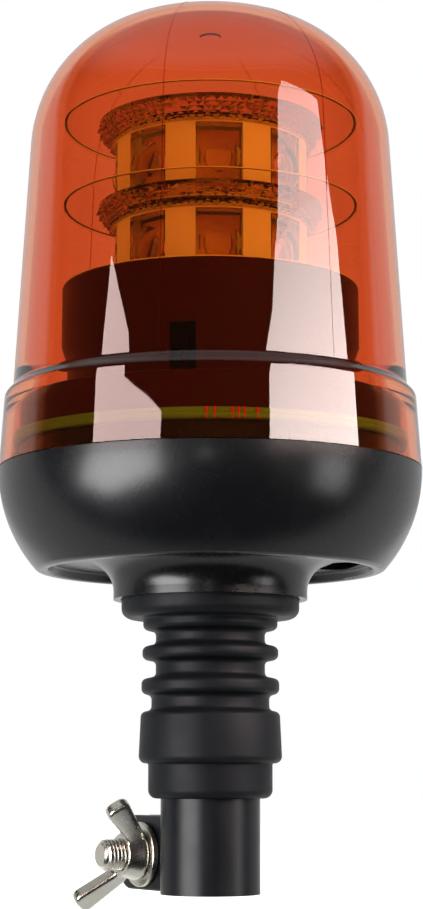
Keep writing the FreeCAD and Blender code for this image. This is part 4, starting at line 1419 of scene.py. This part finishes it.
@dataclass
class LensDome:
    """Tinted lens: bayonet collar, rounded shoulder, and drafted dome with its gate and parting lines."""

    wall: float = 2.8
    foot_z: float = 128.7
    foot_r: float = 65.4
    shoulder_r: float = 63.9
    shoulder_z: float = 151.4
    shoulder_edge: float = 2.6
    dome_foot_edge: float = 1.5
    inner_slope: float = 5.0
    inner_round: float = 24.0
    dome_r: float = 61.2
    dome_z: float = 154.2
    draft: float = 3.28
    wall_l: float = 78.8
    corner: float = 42.7
    corner_steps: int = 28
    crown: float = 290.0
    crown_steps: int = 4
    gate_r: float = 3.5
    gate_h: float = 0.5
    gate_edge: float = 0.4
    facets: int = 160
    sharp: float = 40.0
    lug_r: float = 60.0
    lug_z: float = 129.0
    lug_t: float = 1.7
    lug_gap: float = 0.05
    lug_span: float = 20.0
    lug_steps: int = 10
    lug_count: int = 3
    line_angles: tuple[float, ...] = (-45.0, 5.0, 75.0, 125.0, 195.0, 245.0)
    line_span: float = 0.34
    line_h: float = 0.1
    line_sink: float = 0.06
    line_foot: float = 1.0
    line_top: float = 80.0
    line_steps: int = 24

    def centres(self) -> tuple[tuple[float, float], tuple[float, float], float]:
        """Works out the arcs of the dome's section.

        Returns:
            The top of the straight wall, the centre of the corner's arc, and the lean in degrees at
            which the corner runs into the crown.
        """
        slope = math.radians(self.draft)
        top_r = self.dome_r - self.wall_l * math.sin(slope)
        top_z = self.dome_z + self.wall_l * math.cos(slope)
        centre = (top_r - self.corner * math.cos(slope), top_z - self.corner * math.sin(slope))
        lean = math.degrees(math.asin(centre[0] / (self.crown - self.corner)))
        return (top_r, top_z), centre, lean

    def shell(self) -> Object:
        """The lens's wall, inside and outside in one turned section.

        Returns:
            The lens's object.
        """
        wall_top, centre, lean = self.centres()
        crown_z = centre[1] - math.sqrt((self.crown - self.corner) ** 2 - centre[0] ** 2)
        sweep = 90.0 - lean - self.draft
        inner = self.crown - self.wall
        gate_lean = math.degrees(math.asin(self.gate_r / inner))
        gate_z = crown_z + math.sqrt(inner**2 - self.gate_r**2)
        inner_r = self.dome_r - self.wall * math.cos(math.radians(self.draft))
        skin = Section(0.0, gate_z - self.gate_h)
        skin.path((self.gate_r, gate_z - self.gate_h, self.gate_edge), (self.gate_r, gate_z))
        skin.arc(0.0, crown_z, gate_lean - lean, self.crown_steps)
        skin.arc(*centre, -sweep, self.corner_steps).path(
            (inner_r, self.dome_z + self.inner_slope - self.wall, self.inner_round),
            (self.shoulder_r - self.wall, self.shoulder_z - self.inner_slope, self.inner_round),
            (self.foot_r - self.wall, self.foot_z),
            (self.foot_r, self.foot_z),
            (self.shoulder_r, self.shoulder_z, self.shoulder_edge),
            (self.dome_r, self.dome_z, self.dome_foot_edge),
            wall_top,
        )
        skin.arc(*centre, sweep, self.corner_steps).arc(0.0, crown_z, lean, self.crown_steps)
        bm = absorb(skin.turn(self.facets), self.lugs())
        lens = settle(bm, "lens_amber", AMBER_ACRYLIC, self.sharp)
        # Keeps the shading of rounded edges off the straight walls beside them
        lens.modifiers.new("true_walls", "WEIGHTED_NORMAL").keep_sharp = True
        return lens

    def lugs(self) -> BMesh:
        """Bayonet lugs inside the collar's foot.

        Returns:
            The lugs as closed shapes.
        """
        out = self.foot_r - self.wall - self.lug_gap
        top = self.lug_z + self.lug_t
        lug = Section(self.lug_r, self.lug_z).path((out, self.lug_z), (out, top), (self.lug_r, top))
        bm = lug.close().turn(self.lug_steps, self.lug_span)
        bmesh.ops.holes_fill(bm, edges=bm.edges[:], sides=4)
        bmesh.ops.recalc_face_normals(bm, faces=bm.faces[:])
        return repeat(bm, self.lug_count, -self.lug_span / 2)

    def parting_lines(self) -> Object:
        """Fine raised lines that the mould's slides leave on the dome.

        Returns:
            The lines' object.
        """
        wall_top, centre, _ = self.centres()
        lines = bmesh.new()
        for angle in self.line_angles:
            skin = Section(self.dome_r - self.line_sink, self.dome_z + self.line_foot).line(*wall_top)
            bm = skin.arc(*centre, self.line_top - self.draft, self.line_steps).turn(2, self.line_span)
            bmesh.ops.solidify(bm, geom=bm.faces[:], thickness=-self.line_h * MM)
            absorb(lines, swing(bm, angle - self.line_span / 2))
        return settle(tidy(lines), "lens_parting_lines", AMBER_ACRYLIC, self.sharp)

    def build(self, nodes: dict[str, Object]) -> None:
        """Builds the lens.

        Args:
            nodes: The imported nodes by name, none of which needs a finish here.
        """
        assign(self.shell(), Body.LENS, "lens_dome")
        assign(self.parting_lines(), Body.LENS)


@dataclass(frozen=True)
class SoftBox:
    """Soft box that only gloss sees: corners as azimuth and elevation, and light at foot and head."""

    name: str
    corners: tuple[tuple[float, float], ...]
    foot_light: float
    head_light: float
    tint: str = WHITE


@dataclass(frozen=True)
class SoftLamp:
    """Square lamp that lights matt surfaces: its place as angles, its side in millimetres and its watts."""

    name: str
    azimuth: float
    elevation: float
    size: float
    power: float


RIGHT_BOX = SoftBox(
    "soft_box_right",
    ((38, 21), (79.5, 21), (73.5, 24.2), (67.5, 28.5), (48, 37), (40.5, 22.5)),
    foot_light=12.0,
    head_light=7.5,
    tint="#FFE8E2",
)
RIGHT_MIDDLE_BOX = SoftBox(
    "soft_box_right_middle",
    (
        (30, 10),
        (84.5, 10),
        (84.5, 15.8),
        (81, 20.5),
        (79.2, 21.4),
        (38.4, 21.4),
        (35.6, 18.9),
        (31.5, 17.5),
    ),
    foot_light=26.0,
    head_light=13.0,
    tint="#FFE8E2",
)
RIGHT_LOW_BOX = SoftBox(
    "soft_box_right_low",
    ((57, -20), (76, -20), (76, 0), (57, 0)),
    foot_light=3.0,
    head_light=4.5,
)
LEFT_BOX = SoftBox(
    "soft_box_left",
    (
        (-64, 10),
        (-27, 10),
        (-27, 12),
        (-25.6, 16.0),
        (-40, 16.75),
        (-46.5, 17.0),
        (-47, 17.75),
        (-60, 20.5),
        (-64, 16.5),
    ),
    foot_light=14.0,
    head_light=14.0,
    tint="#FFDCD6",
)
LEFT_LOW_BOX = SoftBox(
    "soft_box_left_low",
    ((-72, -14), (-58, -25), (-27, -15), (-27, 3), (-64, 4)),
    foot_light=10.0,
    head_light=10.0,
)
FRONT_BOX = SoftBox(
    "soft_box_front",
    ((-4, -4), (-1, -4), (-1, 0), (-4, 0)),
    foot_light=12.0,
    head_light=12.0,
)


@dataclass
class Studio:
    """Camera, pale floor, white surroundings, dark front and soft lamps, as angles from the object."""

    distance: float = 642.0
    aside: float = 0.35
    camera_z: float = 34.3
    heading: float = -31.0
    pitch: float = 8.82
    focal_px: float = 2090.0
    image_px: float = 909.0
    sensor: float = 36.0
    target_z: float = 150.0
    panel_distance: float = 1300.0
    floor_z: float = -12.0
    floor_r: float = 4000.0
    floor_colour: str = "#E9E9E7"
    floor_lift: float = 0.58
    curtain_r: float = 2200.0
    curtain_tilt: float = 25.0
    curtain_edge: float = 0.8
    side_dim: float = -0.11
    side_lit: float = -0.19
    top_dim: float = 0.7
    top_lit: float = 0.85
    curtain_light: float = 0.65
    surround: float = 0.5
    inner_mirror: float = 0.2
    boxes: tuple[SoftBox, ...] = (
        RIGHT_BOX,
        RIGHT_MIDDLE_BOX,
        RIGHT_LOW_BOX,
        LEFT_BOX,
        LEFT_LOW_BOX,
        FRONT_BOX,
    )
    lamps: tuple[SoftLamp, ...] = (
        SoftLamp("lamp_left", azimuth=-58.0, elevation=12.0, size=700.0, power=9.0),
        SoftLamp("lamp_right", azimuth=62.0, elevation=28.0, size=700.0, power=12.5),
        SoftLamp("lamp_top", azimuth=150.0, elevation=60.0, size=900.0, power=5.0),
    )

    def direction(self, azimuth: float, elevation: float) -> Vector:
        """Direction from the object.

        Args:
            azimuth: Degrees to the camera's right.
            elevation: Degrees above the horizon.

        Returns:
            The unit direction.
        """
        around = math.radians(self.heading + azimuth)
        rise = math.radians(elevation)
        flat = math.cos(rise)
        return Vector((flat * math.cos(around), flat * math.sin(around), math.sin(rise)))

    def camera(self) -> None:
        """Puts the camera where the photograph was taken from."""
        data = bpy.data.cameras.new("camera")
        data.sensor_width = self.sensor
        data.lens = self.focal_px * self.sensor / self.image_px
        camera = bpy.data.objects.new("camera", data)
        back = self.direction(0.0, 0.0)
        right = self.direction(90.0, 0.0)
        camera.location = (back * self.distance + right * self.aside) * MM
        camera.location.z = self.camera_z * MM
        turn = math.radians(self.heading) + QUARTER_TURN
        camera.rotation_euler = (QUARTER_TURN + math.radians(self.pitch), 0.0, turn)
        bpy.context.scene.collection.objects.link(camera)
        bpy.context.scene.camera = camera

    def world(self) -> None:
        """White surroundings for what is seen directly, in gloss or through glass, softer for the rest.

        Light that glass mirrored inside and sent to the front is dimmer, as the curtain hangs there.
        """
        world = bpy.data.worlds.new("white_surroundings")
        world.use_nodes = True
        tree = world.node_tree
        tree.nodes.clear()
        rays = add_node(tree, "ShaderNodeLightPath").outputs
        seen = rays["Is Camera Ray"]
        for ray in ("Is Glossy Ray", "Is Transmission Ray"):
            seen = add_node(tree, "ShaderNodeMath", {0: seen, 1: rays[ray]}, operation="MAXIMUM").outputs[0]
        level = add_node(tree, "ShaderNodeMapRange", {"Value": seen, 3: self.surround, 4: 1.0}).outputs[0]
        way = add_node(tree, "ShaderNodeTexCoord").outputs["Generated"]
        front = {0: way, 1: self.direction(0.0, self.curtain_tilt)}
        share = add_node(tree, "ShaderNodeVectorMath", front, operation="DOT_PRODUCT").outputs["Value"]
        ramp = {"Value": share, 1: self.side_lit, 2: self.side_dim}
        ahead = add_node(tree, "ShaderNodeMapRange", ramp).outputs[0]
        mirrored = rays["Is Transmission Ray"]
        for factor in (rays["Glossy Depth"], ahead):
            product = {0: mirrored, 1: factor}
            mirrored = add_node(tree, "ShaderNodeMath", product, operation="MULTIPLY").outputs[0]
        fade = {"Value": mirrored, 3: 1.0, 4: self.inner_mirror}
        dim = add_node(tree, "ShaderNodeMapRange", fade).outputs[0]
        level = add_node(tree, "ShaderNodeMath", {0: level, 1: dim}, operation="MULTIPLY").outputs[0]
        glow = add_node(tree, "ShaderNodeBackground", {"Color": linear(WHITE), "Strength": level})
        add_node(tree, "ShaderNodeOutputWorld", {"Surface": glow.outputs[0]})
        bpy.context.scene.world = world

    def stage_object(self, bm: BMesh, name: str, material: Material) -> Object:
        """Makes a piece of the studio.

        Args:
            bm: Its shape, which is freed.
            name: Its name.
            material: Its material.

        Returns:
            The staged object.
        """
        mesh = bpy.data.meshes.new(name)
        bm.to_mesh(mesh)
        bm.free()
        mesh.materials.append(material)
        mesh.shade_smooth()
        item = bpy.data.objects.new(name, mesh)
        bpy.context.scene.collection.objects.link(item)
        return item

    def for_gloss_only(self, item: Object) -> None:
        """Hides a piece of the studio from all but mirror rays.

        Args:
            item: The staged piece.
        """
        item.visible_camera = False
        item.visible_diffuse = False
        item.visible_transmission = False
        item.visible_shadow = False

    def floor(self) -> None:
        """Pale floor that turns white where the camera sees it lit, and keeps the shadow."""
        material, tree = new_material("pale_floor")
        paint = add_node(tree, "ShaderNodeBsdfDiffuse", {"Color": linear(self.floor_colour)}).outputs[0]
        lifted = {0: add_node(tree, "ShaderNodeLightPath").outputs["Is Camera Ray"], 1: self.floor_lift}
        level = add_node(tree, "ShaderNodeMath", lifted, operation="MULTIPLY").outputs[0]
        lift = add_node(tree, "ShaderNodeEmission", {"Color": linear(WHITE), "Strength": level}).outputs[0]
        both = add_node(tree, "ShaderNodeAddShader", {0: paint, 1: lift}).outputs[0]
        add_node(tree, "ShaderNodeOutputMaterial", {"Surface": both})
        bm = bmesh.new()
        place = Matrix.Translation((0.0, 0.0, self.floor_z * MM))
        bmesh.ops.create_circle(bm, cap_ends=True, segments=64, radius=self.floor_r * MM, matrix=place)
        floor = self.stage_object(bm, "floor", material)
        floor.visible_glossy = False

    def curtain(self) -> None:
        """Curtain that only gloss sees: dark round the camera, paler overhead and behind the light."""
        material, tree = new_material("black_curtain")
        place = add_node(tree, "ShaderNodeTexCoord").outputs["Object"]
        front = self.direction(0.0, self.curtain_tilt)
        radius = self.curtain_r * MM
        levels = []
        for axis, dim, lit in (
            (front, self.side_dim, self.side_lit),
            (UP, self.top_dim, self.top_lit),
        ):
            along = {0: place, 1: axis / radius}
            share = add_node(tree, "ShaderNodeVectorMath", along, operation="DOT_PRODUCT").outputs["Value"]
            ramp = {"Value": share, 1: dim, 2: lit, 3: 0.0, 4: self.curtain_light}
            levels.append(add_node(tree, "ShaderNodeMapRange", ramp).outputs[0])
        brighter = {0: levels[0], 1: levels[1]}
        level = add_node(tree, "ShaderNodeMath", brighter, operation="MAXIMUM").outputs[0]
        cloth = add_node(tree, "ShaderNodeEmission", {"Color": linear(WHITE), "Strength": level})
        add_node(tree, "ShaderNodeOutputMaterial", {"Surface": cloth.outputs[0]})
        bm = bmesh.new()
        bmesh.ops.create_uvsphere(bm, u_segments=64, v_segments=32, radius=radius)
        edge = front * (-self.curtain_edge * radius)
        bmesh.ops.bisect_plane(bm, geom=whole(bm), plane_co=edge, plane_no=front, clear_inner=True)
        self.for_gloss_only(self.stage_object(bm, "curtain", material))

    def panel(self, box: SoftBox) -> None:
        """Hangs a soft box as a flat sheet that faces the object.

        Args:
            box: The soft box.
        """
        middle = Vector((0.0, 0.0, self.target_z * MM))
        ways = [self.direction(*corner) for corner in box.corners]
        facing = sum(ways, Vector()).normalized()
        bm = bmesh.new()
        reach = self.panel_distance * MM
        verts = [bm.verts.new(middle + way * (reach / way.dot(facing))) for way in ways]
        bm.faces.new(verts)
        heights = [vert.co.z for vert in verts]
        material, tree = new_material(f"{box.name}_cloth")
        place = add_node(tree, "ShaderNodeTexCoord").outputs["Object"]
        height = add_node(tree, "ShaderNodeSeparateXYZ", {0: place}).outputs["Z"]
        ramp = {"Value": height, 1: min(heights), 2: max(heights), 3: box.foot_light, 4: box.head_light}
        level = add_node(tree, "ShaderNodeMapRange", ramp).outputs[0]
        glow = add_node(tree, "ShaderNodeEmission", {"Color": linear(box.tint), "Strength": level})
        add_node(tree, "ShaderNodeOutputMaterial", {"Surface": glow.outputs[0]})
        self.for_gloss_only(self.stage_object(bm, box.name, material))

    def hang_lamp(self, lamp: SoftLamp) -> None:
        """Hangs a lamp that neither gloss nor glass shows.

        Args:
            lamp: The lamp.
        """
        data = bpy.data.lights.new(lamp.name, "AREA")
        data.size = lamp.size * MM
        data.energy = lamp.power
        light = bpy.data.objects.new(lamp.name, data)
        away = self.direction(lamp.azimuth, lamp.elevation)
        light.location = Vector((0.0, 0.0, self.target_z * MM)) + away * self.panel_distance * MM
        light.rotation_euler = away.to_track_quat("Z", "Y").to_euler()
        light.visible_glossy = False
        light.visible_transmission = False
        bpy.context.scene.collection.objects.link(light)

    def build(self) -> None:
        """Sets up the whole studio."""
        bpy.context.scene.view_settings.view_transform = "Standard"
        self.camera()
        self.world()
        self.floor()
        self.curtain()
        for box in self.boxes:
            self.panel(box)
        for lamp in self.lamps:
            self.hang_lamp(lamp)
        LOG.info("studio ready")


def main() -> None:
    """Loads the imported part, sets up the studio and builds each group of pieces round the part."""
    logging.basicConfig(level=logging.INFO, format="%(name)s: %(message)s")
    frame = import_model()
    nodes = frame["nodes"]
    Studio().build()
    for group in (PoleClamp(), FlexStem(), BaseUnit(), LightTower(), LensDome()):
        group.build(nodes)


if __name__ == "__main__":
    main()
